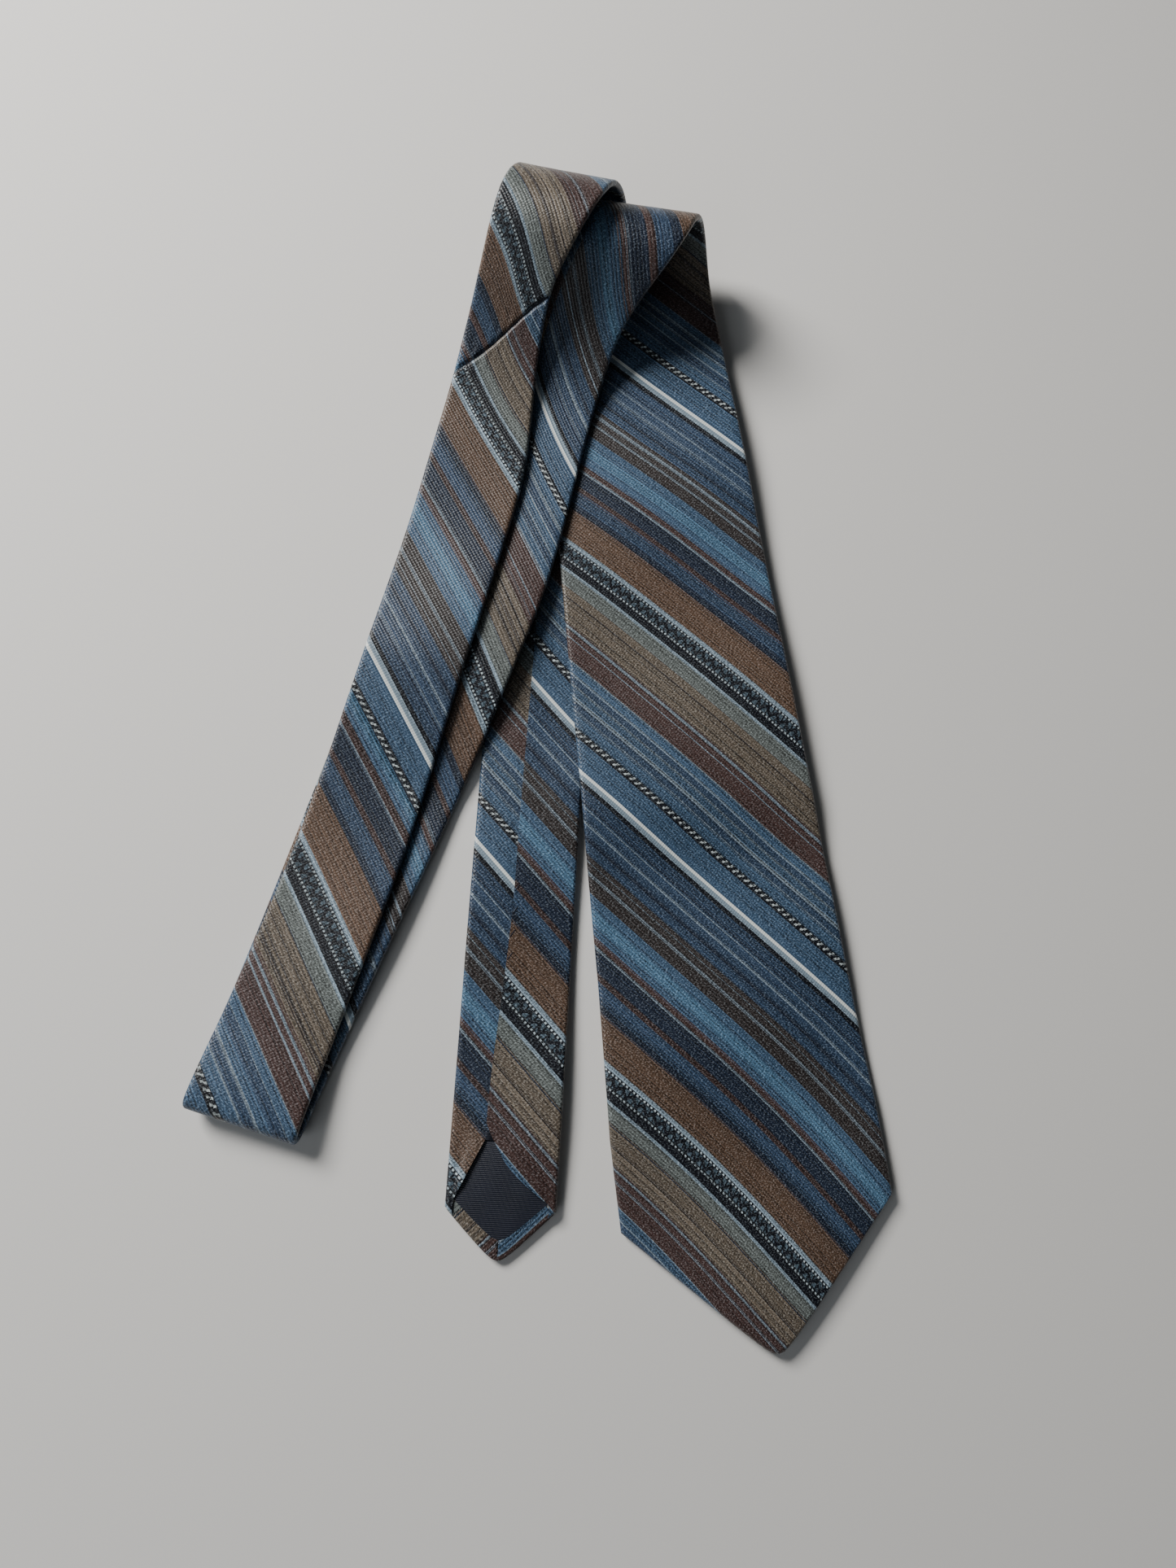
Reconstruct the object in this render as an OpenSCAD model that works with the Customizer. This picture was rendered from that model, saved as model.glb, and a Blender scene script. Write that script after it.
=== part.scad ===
// Necktie laid on a table, folded back on itself twice.
//
// Every piece is drawn flat first, in the cloth's own coordinates [t, s, n]: t across the tie,
// s along it from the point of the wide blade, n up from the middle of its thickness on the
// face side. laid_point() then lays the cloth down through four bends without stretching it.
// The origin is on the table at the middle of the box round the whole tie, with +Y along the
// wide blade towards the arches and +Z up.

/* [Cloth] */
// Full width of the wide blade at its shoulders
blade_w = 88; // [80:1:100]
// Full width where the blade turns over the inner arch
arch_w = 64; // [56:1:70]
// Full width at the lower fold
fold_w = 37; // [34:1:42]
// Full width of the neck panel
neck_w = 34; // [30:1:38]
// Full width of the narrow blade at its shoulders
tail_w = 35; // [32:1:40]
// Whole length from point to point
tie_length = 1502; // [1480:1:1530]
// Thickness of the finished tie
thick = 2.4; // [1.8:0.1:2.6]
// Wall of the shell fabric
wall = 0.5; // [0.4:0.05:0.7]

/* [Lie] */
// Place along the blade where the inner arch begins
inner_arch_s = 376; // [370:1:380]
// Bend radius of the inner arch
inner_arch_r = 15.5; // [14:0.5:16]
// Bend radius of the outer arch
outer_arch_r = 21; // [21:0.5:22]
// Slope at which both arches come down on the stack
arch_slope = 41; // [36:1:45]
// Turn of the inner arch's bend line out of square
inner_skew = -13.4; // [-15:0.1:-12]
// Place along the tie of the lower fold's middle
fold_s = 757; // [750:1:765]
// Bend radius of the lower fold
fold_r = 3; // [2.5:0.1:4]
// Turn of the lower fold's bend line out of square
fold_skew = -1.45; // [-2.5:0.05:-0.5]
// Place along the tie where the outer arch begins to rise
outer_arch_s = 1008.5; // [1008:0.5:1010]
// Turn of the outer arch's bend line out of square
outer_skew = 6.7; // [5:0.1:6.8]

/* [Joints and seams] */
// Line across the blade that its free end lifts about
blade_hinge_s = 150; // [120:1:155]
// Distance from the lower fold to the line that the doubled neck lifts about
neck_hinge_reach = 235; // [230:1:238]
// Distance from the lower fold to the line that its end lifts about
fold_hinge_reach = 95; // [85:1:105]
// Line across the narrow blade that its free end lifts about
tail_hinge_s = 1363; // [1345:1:1380]
// Middle of the seam from blade panel to neck panel
blade_neck_seam_s = 885; // [880:1:890]
// Middle of the seam from neck panel to tail panel
neck_tail_seam_s = 1040; // [1035:1:1045]
// Middle of the keeper loop on the back of the blade
keeper_s = 236; // [225:1:250]

/* [Hidden] */
layer_gap = 0.5;                        // air between cloth that lies on cloth
half_t = thick / 2;
layer = thick + layer_gap;              // rise from one layer of the stack to the next
ease_r = 60;                            // radius of the slow bends where cloth settles
ramp_r = 40;
ramp_slope = 8;
blade_ramp_s = 153;                     // the blade climbs on to the narrow blade here
hinge_gap = 2.5;                        // half the clearance where one layer lifts
stack_gap = 5;                          // half the clearance where two layers lift together
seam_half = 0.4;
seam_air = 0.1;                         // hair of room between a seam and the cloth it joins
slit_half = 0.6;                        // half the slit between the two back flaps
thread_half = 0.45;
edge_r = 0.35;
seam_in = 0.12;                         // how far a seam lies below the cloth beside it
turn_step = 10;                         // degrees of bend between two rings of a sweep
turn_run = 6;                           // and the most cloth between them

// ---- Bends: each is [start s, skew, profile], a profile being [length, turn] stretches ----
function arc_len(r, a) = r * abs(a) * PI / 180;

// An S-shaped change of height: dz up or down, leaving the heading as it was
function ramp(dz, r = ramp_r, a = ramp_slope) =
    let (up = dz > 0 ? a : -a,
         straight = (abs(dz) - 2 * r * (1 - cos(a))) / sin(a))
    [[arc_len(r, a), up], [straight, 0], [arc_len(r, a), -up]];
function ramp_len(dz) = total([for (p = ramp(dz)) p[0]]);

// The straight stretch between a loop and the slow bend that lays it down
function arch_straight(r, dz) =
    (r * (1 + cos(arch_slope)) - ease_r * (1 - cos(arch_slope)) - dz) / sin(arch_slope);

function total(v, i = 0) = i < len(v) ? v[i] + total(v, i + 1) : 0;
function flip(profile) = [for (p = profile) [p[0], -p[1]]];

loop_turn = 180 + arch_slope;
inner_arch = [[arc_len(inner_arch_r, loop_turn), loop_turn],
              [arch_straight(inner_arch_r, layer), 0],
              [arc_len(ease_r, arch_slope), -arch_slope]];
outer_arch = [[arc_len(ease_r, arch_slope), arch_slope],
              [arch_straight(outer_arch_r, 3 * layer), 0],
              [arc_len(outer_arch_r, loop_turn), -loop_turn]];

// The doubled neck steps down off the blade, turns back at the lower fold and steps up again
fold_len = arc_len(fold_r, 180);
step_out = 117;                         // lower fold to the inner end of the step
step_down = ramp(2 * layer);
step_len = ramp_len(2 * layer);
settle = ramp(2 * fold_r - layer);
settle_len = ramp_len(2 * fold_r - layer);
neck_fold = concat(step_down, [[step_out - fold_len / 2, 0], [fold_len, -180]], flip(settle),
                   [[step_out - fold_len / 2 - settle_len, 0]], step_down);

BENDS = [[blade_ramp_s, 0, ramp(layer)],
         [inner_arch_s, inner_skew, inner_arch],
         [fold_s - step_out - step_len, fold_skew, neck_fold],
         [outer_arch_s, outer_skew, outer_arch]];

// Point of a profile: u along it, w off it on the face side
function trace(profile, u, w, x = 0, z = 0, a = 0, i = 0) =
    i >= len(profile) || u <= 0
        ? [x + u * cos(a) - w * sin(a), z + u * sin(a) + w * cos(a)]
        : let (run = min(u, profile[i][0]),
               turn = profile[i][1] * run / profile[i][0],
               r = turn == 0 ? 0 : run * 180 / PI / turn,
               nx = x + (turn == 0 ? run * cos(a) : r * (sin(a + turn) - sin(a))),
               nz = z + (turn == 0 ? run * sin(a) : r * (cos(a) - cos(a + turn))))
          u <= profile[i][0]
              ? [nx - w * sin(a + turn), nz + w * cos(a + turn)]
              : trace(profile, u - profile[i][0], w, nx, nz, a + turn, i + 1);

// One bend: the cloth before it stays, the cloth after it is carried over rigidly
function bend(b, p) =
    let (along = [cos(b[1]), sin(b[1])],
         onward = [-sin(b[1]), cos(b[1])],
         q = [p[0], p[1] - b[0]],
         xz = trace(b[2], q * onward, p[2]),
         flat = (q * along) * along + xz[0] * onward)
    [flat[0], flat[1] + b[0], xz[1]];

// The rigid placement that a bend gives to the cloth beyond it
function carried(b) =
    let (far = b[0] + total([for (p = b[2]) p[0]]) + blade_w,
         o = bend(b, [0, far, 0]))
    [o, bend(b, [1, far, 0]) - o, bend(b, [0, far + 1, 0]) - o, bend(b, [0, far, 1]) - o, far];
FRAMES = [for (b = BENDS) carried(b)];
function place(f, p) = f[0] + p[0] * f[1] + (p[1] - f[4]) * f[2] + p[2] * f[3];
function place_after(i, p) = i < 0 ? p : place_after(i - 1, place(FRAMES[i], p));

function bend_end(b) = b[0] + total([for (p = b[2]) p[0]]);
function bend_index(s, i = 0) =
    i + 1 >= len(BENDS) || s < (bend_end(BENDS[i]) + BENDS[i + 1][0]) / 2
        ? i : bend_index(s, i + 1);

shoulder_y = blade_w / 2;               // the point is a right angle, so its rise is half the width
// Place of a cloth point, measured from the wide blade's point
function laid_point(p) =
    let (i = bend_index(p[1]), q = place_after(i - 1, bend(BENDS[i], p)))
    [q[0], q[1], q[2] + half_t];

// ---- Width of the tie ----
WIDTHS = [[0, blade_w], [shoulder_y, blade_w], [inner_arch_s + 30, arch_w], [fold_s, fold_w],
          [blade_neck_seam_s + 20, neck_w], [tie_length - tail_w, tail_w],
          [tie_length, tail_w]];
function half_w(s) = lookup(s, WIDTHS) / 2;

// ---- Rings: [s, skew slope, point slope, half slit], where a point slope makes a V ----
function cut(s, k = 0) = [s, k, 0, slit_half];
function bend_rings(b, i = 0, s = 0) =
    i >= len(b[2]) ? []
        : let (run = b[2][i][0],
               n = b[2][i][1] == 0 ? 1 : ceil(max(abs(b[2][i][1]) / turn_step, run / turn_run)))
          concat([for (j = [0 : n - 1]) cut(b[0] + s + run * j / n, tan(b[1]))],
                 i + 1 == len(b[2]) ? [cut(b[0] + s + run, tan(b[1]))] : [],
                 bend_rings(b, i + 1, s + run));
ALL_RINGS = [for (b = BENDS) each bend_rings(b)];

// Rings from one cut to another, with every bend ring that lies clear between them
function clear_of(r, end) =
    abs(r[0] - end[0]) > 1 + (half_w(end[0]) + 1) * abs(r[1] - end[1]);
function rings(a, b) =
    concat([a],
           [for (r = ALL_RINGS)
               if (r[0] > a[0] && r[0] < b[0] && clear_of(r, a) && clear_of(r, b)) r],
           [b]);
// Rings that turn steadily from one cut to the other
function fan(a, b, n) = [for (i = [0 : n]) a + (b - a) * i / n];

// ---- Sections: [share of half width, offset, height, share of the slit] ----
// The shell runs from one flap's edge round the face to the other's, outside, and back inside
function across(w_out, w_in, n_out, n_in) =
    [[0, 0, -n_out, -1], [-0.5, 0, -n_out, -0.5], [-1, w_in, -n_out, 0],
     [-1, w_out, -n_in, 0], [-1, w_out, n_in, 0], [-1, w_in, n_out, 0],
     [-0.5, 0, n_out, 0], [0, 0, n_out, 0], [0.5, 0, n_out, 0],
     [1, -w_in, n_out, 0], [1, -w_out, n_in, 0], [1, -w_out, -n_in, 0],
     [1, -w_in, -n_out, 0], [0.5, 0, -n_out, 0.5], [0, 0, -n_out, 1]];
function backwards(v) = [for (i = [len(v) - 1 : -1 : 0]) v[i]];
inner_n = half_t - wall;
inside = backwards(across(wall, wall + 0.1, inner_n, inner_n - 0.1));
shell_section = concat(across(0, edge_r, half_t, half_t - edge_r), inside);
// A seam is the same wrap, drawn in a little all round
seam_section = concat(across(seam_in, edge_r, half_t - seam_in, half_t - edge_r), inside);

// A flat band between two edges across and two heights
function mix(a, b, f) = a * (1 - f) + b * f;
function band(left, right, low, high) =
    concat([for (f = [0 : 0.25 : 1]) mix(left, right, f) + [0, 0, low, 0]],
           [for (f = [1 : -0.25 : 0]) mix(left, right, f) + [0, 0, high, 0]]);
core_n = inner_n - 0.15;
core_section = band([-1, wall + 0.3, 0, 0], [1, -wall - 0.3, 0, 0], -core_n, core_n);
thread_section = band([0, -thread_half, 0, 0], [0, thread_half, 0, 0],
                      0.05 - half_t, 0.02 - inner_n);
lining_section = band([0, 0.2, 0, -1], [0, -0.2, 0, 1], 0.1 - half_t, 0.02 - inner_n);

// The points of a section at one ring, measured from the wide blade's point
function ring_points(section, r) =
    [for (c = section)
        let (t = c[0] * half_w(r[0]) + c[1] + c[3] * r[3])
        laid_point([t, r[0] + r[1] * t + r[2] * abs(t), c[2]])];
// A closed sweep of a section along a list of rings
module sweep(section, list) {
    m = len(section);
    last = (len(list) - 1) * m;
    points = [for (r = list) each ring_points(section, r)];
    sides = [for (i = [0 : len(list) - 2], j = [0 : m - 1])
        let (a = i * m + j, b = i * m + (j + 1) % m)
        each [[a, b, b + m], [a, b + m, a + m]]];
    // Each section folds back on itself, so point j faces point m - 1 - j
    caps = [for (j = [0 : m / 2 - 2])
        let (q = [j, j + 1, m - 2 - j, m - 1 - j])
        each [[q[0], q[2], q[1]], [q[0], q[3], q[2]],
              [q[0] + last, q[1] + last, q[2] + last], [q[0] + last, q[2] + last, q[3] + last]]];
    translate([-middle[0], -middle[1], 0]) polyhedron(points, concat(sides, caps));
}
// A small flat piece laid on the cloth, between two places across, along and in height
module patch(t, s, n) {
    sweep(band([0, t[0], 0, 0], [0, t[1], 0, 0], n[0], n[1]), [cut(s[0]), cut(s[1])]);
}

// ---- Cuts between the pieces ----
fold_k = tan(fold_skew);
arch_k = tan(outer_skew);
function seam_cuts(s, k, half) = [cut(s - half, k), cut(s + half, k)];
blade_neck_edges = seam_cuts(blade_neck_seam_s, -1, seam_half + seam_air);
neck_tail_edges = seam_cuts(neck_tail_seam_s, 1, seam_half + seam_air);
neck_out_s = fold_s - neck_hinge_reach;
neck_back_s = fold_s + neck_hinge_reach;
end_out_s = fold_s - fold_hinge_reach;
end_back_s = fold_s + fold_hinge_reach;

// The back of each point is open, and the slit widens there from the bar tack to the shoulders
blade_open_s = 122;
tail_open_s = tie_length - 47;
tack_run = 3;
tack_half = 3.2;
tail_shoulder_s = tie_length - tail_w / 2;
blade_slit = shoulder_y - 8;
tail_slit = tail_w / 2 - 4;
blade_open_rings = [[0, 0, 1, blade_slit + 2], [shoulder_y, 0, 0.3, blade_slit],
                    [blade_open_s - tack_run, 0, 0, tack_half]];
tail_open_rings = [[tail_open_s + tack_run, 0, 0, tack_half],
                   [tail_shoulder_s - 2, 0, -0.2, tail_slit], [tie_length, 0, -1, tail_slit + 1]];
function inset_first(list, d) = [for (i = [0 : len(list) - 1])
    i == 0 ? list[0] + [d, 0, 0, 0] : list[i]];
function inset_last(list, d) = [for (i = [0 : len(list) - 1])
    i == len(list) - 1 ? list[i] - [d, 0, 0, 0] : list[i]];

blade_end_rings = concat(blade_open_rings,
                         [cut(blade_open_s), cut(blade_hinge_s - hinge_gap)]);
blade_upper_rings = rings(cut(blade_hinge_s + hinge_gap), cut(neck_out_s - stack_gap, fold_k));
loop_out_rings = rings(cut(neck_out_s + stack_gap, fold_k), cut(end_out_s - stack_gap, fold_k));
fold_rings = rings(cut(end_out_s + stack_gap, fold_k), cut(end_back_s - stack_gap, fold_k));
loop_back_rings = rings(cut(end_back_s + stack_gap, fold_k),
                        cut(neck_back_s - stack_gap, fold_k));
loop_blade_rings = fan(cut(end_back_s + stack_gap, fold_k), blade_neck_edges[0], 8);
loop_neck_rings = fan(blade_neck_edges[1], cut(neck_back_s - stack_gap, fold_k), 24);
neck_top_rings = fan(cut(neck_back_s + stack_gap, fold_k), neck_tail_edges[0], 14);
loop_start_s = outer_arch_s + outer_arch[0][0] + outer_arch[1][0];
tail_start_rings = fan(neck_tail_edges[1], cut(loop_start_s, arch_k), 12);
tail_upper_rings = concat(tail_start_rings,
    [for (r = ALL_RINGS) if (r[0] > loop_start_s + 1) r], [cut(tail_hinge_s - hinge_gap)]);
top_and_tail_rings = rings(cut(neck_back_s + stack_gap, fold_k), cut(tail_hinge_s - hinge_gap));
tail_end_rings = concat([cut(tail_hinge_s + hinge_gap), cut(tail_open_s)], tail_open_rings);

// The middle of the box round the tie, which the part's origin is under
SHELL_RINGS = concat(blade_end_rings, blade_upper_rings, loop_out_rings, fold_rings,
                     loop_back_rings, top_and_tail_rings, tail_end_rings);
shell_points = [for (r = SHELL_RINGS) each ring_points(shell_section, r)];
function middle_of(v) = (min(v) + max(v)) / 2;
middle = [middle_of([for (p = shell_points) p[0]]), middle_of([for (p = shell_points) p[1]])];

// ---- Colours ----
shell_colour = "steelblue";
neck_colour = "slategray";
tail_colour = "cadetblue";
core_colour = "ivory";
lining_colour = "midnightblue";
thread_colour = "navy";

// ---- Blade panel ----
module blade_shell_end() { color(shell_colour) sweep(shell_section, blade_end_rings); }
module blade_shell_upper() { color(shell_colour) sweep(shell_section, blade_upper_rings); }
module blade_shell_strip() { color(shell_colour) sweep(shell_section, loop_out_rings); }
module blade_shell_fold() { color(shell_colour) sweep(shell_section, fold_rings); }
module blade_shell_return() { color(shell_colour) sweep(shell_section, loop_blade_rings); }

// ---- Neck and tail panels with the seams that join them ----
module blade_neck_seam() {
    color(thread_colour) sweep(seam_section, seam_cuts(blade_neck_seam_s, -1, seam_half));
}
module neck_shell_return() { color(neck_colour) sweep(shell_section, loop_neck_rings); }
module neck_shell_top() { color(neck_colour) sweep(shell_section, neck_top_rings); }
module neck_tail_seam() {
    color(thread_colour) sweep(seam_section, seam_cuts(neck_tail_seam_s, 1, seam_half));
}
module tail_shell_upper() { color(tail_colour) sweep(shell_section, tail_upper_rings); }
module tail_shell_end() { color(tail_colour) sweep(shell_section, tail_end_rings); }

// ---- Interlining ----
module interlining_blade_end() {
    color(core_colour) sweep(core_section, inset_first(blade_end_rings, 2));
}
module interlining_blade_upper() { color(core_colour) sweep(core_section, blade_upper_rings); }
module interlining_strip() { color(core_colour) sweep(core_section, loop_out_rings); }
module interlining_fold() { color(core_colour) sweep(core_section, fold_rings); }
module interlining_return() { color(core_colour) sweep(core_section, loop_back_rings); }
module interlining_tail_upper() { color(core_colour) sweep(core_section, top_and_tail_rings); }
module interlining_tail_end() {
    color(core_colour) sweep(core_section, inset_last(tail_end_rings, 2));
}

// ---- Slip stitch that closes the back ----
module slip_stitch_blade_end() {
    color(thread_colour) sweep(thread_section,
        [cut(blade_open_s), cut(blade_hinge_s - hinge_gap)]);
}
module slip_stitch_blade_upper() { color(thread_colour) sweep(thread_section, blade_upper_rings); }
module slip_stitch_strip() { color(thread_colour) sweep(thread_section, loop_out_rings); }
module slip_stitch_fold() { color(thread_colour) sweep(thread_section, fold_rings); }
module slip_stitch_return() { color(thread_colour) sweep(thread_section, loop_back_rings); }
module slip_stitch_tail_upper() { color(thread_colour) sweep(thread_section, top_and_tail_rings); }
module slip_stitch_tail_end() {
    color(thread_colour) sweep(thread_section,
        [cut(tail_hinge_s + hinge_gap), cut(tail_open_s)]);
}

// ---- Linings and bar tacks at the two points ----
tack_n = [0.05 - half_t, 0.02 - inner_n];
module blade_lining() {
    color(lining_colour) sweep(lining_section, inset_first(blade_open_rings, 3));
}
module tail_lining() {
    color(lining_colour) sweep(lining_section, inset_last(tail_open_rings, 3));
}
module blade_bar_tack() {
    color(thread_colour) patch([-0.4, 0.4], [blade_open_s - 2.8, blade_open_s - 0.2], tack_n);
}
module tail_bar_tack() {
    color(thread_colour) patch([-0.4, 0.4], [tail_open_s + 0.2, tail_open_s + 2.8], tack_n);
}

// ---- Keeper loop on the back of the blade ----
keeper_half_len = 22;
keeper_half_w = 4.5;
keeper_tack_len = 2.5;
keeper_n = [-half_t - 1.1, -half_t - 0.1];
module keeper_loop() {
    color(shell_colour) patch([-keeper_half_len, keeper_half_len],
                              [keeper_s - keeper_half_w, keeper_s + keeper_half_w], keeper_n);
}
module keeper_tack(side) {
    near = side * (keeper_half_len + 0.05);
    far = side * (keeper_half_len + keeper_tack_len);
    color(thread_colour) patch([min(near, far), max(near, far)],
                               [keeper_s - keeper_half_w, keeper_s + keeper_half_w],
                               [keeper_n[0] + 0.1, -half_t]);
}
module keeper_tack_left() { keeper_tack(-1); }
module keeper_tack_right() { keeper_tack(1); }

blade_shell_end();
blade_shell_upper();
blade_shell_strip();
blade_shell_fold();
blade_shell_return();
blade_neck_seam();
neck_shell_return();
neck_shell_top();
neck_tail_seam();
tail_shell_upper();
tail_shell_end();
interlining_blade_end();
interlining_blade_upper();
interlining_strip();
interlining_fold();
interlining_return();
interlining_tail_upper();
interlining_tail_end();
slip_stitch_blade_end();
slip_stitch_blade_upper();
slip_stitch_strip();
slip_stitch_fold();
slip_stitch_return();
slip_stitch_tail_upper();
slip_stitch_tail_end();
blade_lining();
tail_lining();
blade_bar_tack();
tail_bar_tack();
keeper_loop();
keeper_tack_left();
keeper_tack_right();
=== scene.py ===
"""A striped silk necktie laid on a table, over two arches with a flat fold between them.

The shell, the interlining and the seams are shaped flat, in the cloth's own coordinates, and then
laid down through the tie's four bends. Everything is in metres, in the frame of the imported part.
"""

import logging
import math
from dataclasses import dataclass, field
from enum import Enum
from typing import Optional

import bmesh
import bpy
from mathutils import Matrix, Vector

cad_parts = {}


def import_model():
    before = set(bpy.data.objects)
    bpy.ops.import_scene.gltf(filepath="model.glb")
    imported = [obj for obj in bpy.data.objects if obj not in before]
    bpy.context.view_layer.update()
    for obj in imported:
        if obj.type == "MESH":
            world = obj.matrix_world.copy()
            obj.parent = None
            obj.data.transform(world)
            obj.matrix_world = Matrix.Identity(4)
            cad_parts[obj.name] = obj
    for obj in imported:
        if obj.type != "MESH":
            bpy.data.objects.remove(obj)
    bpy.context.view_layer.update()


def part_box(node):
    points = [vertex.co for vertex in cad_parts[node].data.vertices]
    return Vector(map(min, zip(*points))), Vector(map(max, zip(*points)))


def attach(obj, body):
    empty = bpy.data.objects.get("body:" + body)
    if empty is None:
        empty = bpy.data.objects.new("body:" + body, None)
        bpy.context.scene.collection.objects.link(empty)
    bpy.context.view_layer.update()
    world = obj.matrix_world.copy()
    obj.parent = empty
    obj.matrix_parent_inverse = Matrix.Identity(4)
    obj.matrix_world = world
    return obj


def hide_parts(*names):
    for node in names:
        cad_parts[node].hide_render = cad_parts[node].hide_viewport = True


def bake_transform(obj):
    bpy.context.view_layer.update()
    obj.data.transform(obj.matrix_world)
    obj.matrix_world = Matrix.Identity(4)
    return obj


LOG = logging.getLogger("necktie")
MM = 0.001
UV_SCALE = 100.0
"""Millimetres of cloth in one unit of the cloth's UV map."""


# ---------------------------------------------------------------------------------------------
# How the cloth lies
# ---------------------------------------------------------------------------------------------


def smooth_step(low: float, high: float, value: float) -> float:
    """Rise from 0 at low to 1 at high without a corner.

    Args:
        low: Value where the rise starts.
        high: Value where it ends.
        value: The value asked about.

    Returns:
        A number from 0 to 1.
    """
    share = min(max((value - low) / (high - low), 0.0), 1.0)
    return share * share * (3.0 - 2.0 * share)


def table_value(points: list[tuple[float, float]], at: float) -> float:
    """Read a smooth curve through a few points.

    Args:
        points: (place, value) pairs in rising order of place.
        at: The place asked about.

    Returns:
        The value there, held level beyond both ends.
    """
    if at <= points[0][0]:
        return points[0][1]
    for (a, low), (b, high) in zip(points, points[1:]):
        if at <= b:
            return low + (high - low) * smooth_step(a, b, at)
    return points[-1][1]


def line_value(points: list[tuple[float, float]], at: float) -> float:
    """Read a straight-line curve through a few points.

    Args:
        points: (place, value) pairs in rising order of place.
        at: The place asked about.

    Returns:
        The value there, held level beyond both ends.
    """
    if at <= points[0][0]:
        return points[0][1]
    for (a, low), (b, high) in zip(points, points[1:]):
        if at <= b:
            return low + (high - low) * (at - a) / (b - a)
    return points[-1][1]


@dataclass
class Bend:
    """One bend of the cloth about lines that all run the same way, in millimetres and degrees."""

    start: float
    skew: float
    profile: list[tuple[float, float]]
    frame: tuple[Vector, Vector, Vector, Vector, float] = field(init=False)

    def __post_init__(self) -> None:
        """Work out where the cloth beyond the bend is carried."""
        far = self.end + 100.0
        origin = self.apply(Vector((0.0, far, 0.0)))
        across = self.apply(Vector((1.0, far, 0.0))) - origin
        along = self.apply(Vector((0.0, far + 1.0, 0.0))) - origin
        up = self.apply(Vector((0.0, far, 1.0))) - origin
        self.frame = (origin, across, along, up, far)

    @property
    def end(self) -> float:
        """Place along the cloth where the bend is over."""
        return self.start + sum(length for length, _ in self.profile)

    def trace(self, u: float, w: float) -> tuple[float, float]:
        """Follow the profile.

        Args:
            u: Distance along the cloth from the start of the bend.
            w: Distance off the cloth's middle on its face side.

        Returns:
            Distance onward and height.
        """
        x = z = angle = 0.0
        for length, turn in self.profile:
            run = min(u, length)
            if run <= 0.0:
                break
            step = math.radians(turn) * run / length
            if step:
                radius = run / step
                x += radius * (math.sin(angle + step) - math.sin(angle))
                z += radius * (math.cos(angle) - math.cos(angle + step))
            else:
                x += run * math.cos(angle)
                z += run * math.sin(angle)
            angle += step
            u -= run
            if u <= 0.0:
                break
        if u != 0.0:
            x += u * math.cos(angle)
            z += u * math.sin(angle)
        return x - w * math.sin(angle), z + w * math.cos(angle)

    def apply(self, point: Vector) -> Vector:
        """Bend a flat point.

        Args:
            point: Across, along and up, in the flat cloth's coordinates.

        Returns:
            The bent point, in the coordinates of the cloth before the bend.
        """
        skew = math.radians(self.skew)
        along = Vector((math.cos(skew), math.sin(skew)))
        onward = Vector((-math.sin(skew), math.cos(skew)))
        flat = Vector((point.x, point.y - self.start))
        x, z = self.trace(flat.dot(onward), point.z)
        laid = along * flat.dot(along) + onward * x
        return Vector((laid.x, laid.y + self.start, z))

    def carry(self, point: Vector) -> Vector:
        """Carry a point of the cloth beyond the bend over with it."""
        origin, across, along, up, far = self.frame
        return origin + across * point.x + along * (point.y - far) + up * point.z


def arc(radius: float, angle: float) -> tuple[float, float]:
    """Profile stretch of a bend with this radius, through this signed angle in degrees."""
    return radius * math.radians(abs(angle)), angle


def ramp(rise: float, radius: float = 40.0, slope: float = 8.0) -> list[tuple[float, float]]:
    """Profile of an S-shaped change of height.

    Args:
        rise: Height gained, or lost where it is below 0.
        radius: Radius of both bends.
        slope: Steepest angle, in degrees.

    Returns:
        The profile's stretches.
    """
    turn = math.copysign(slope, rise)
    lean = math.radians(slope)
    straight = (abs(rise) - 2.0 * radius * (1.0 - math.cos(lean))) / math.sin(lean)
    return [arc(radius, turn), (straight, 0.0), arc(radius, -turn)]


def run_of(profile: list[tuple[float, float]]) -> float:
    """Length of cloth in a profile."""
    return sum(length for length, _ in profile)


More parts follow.
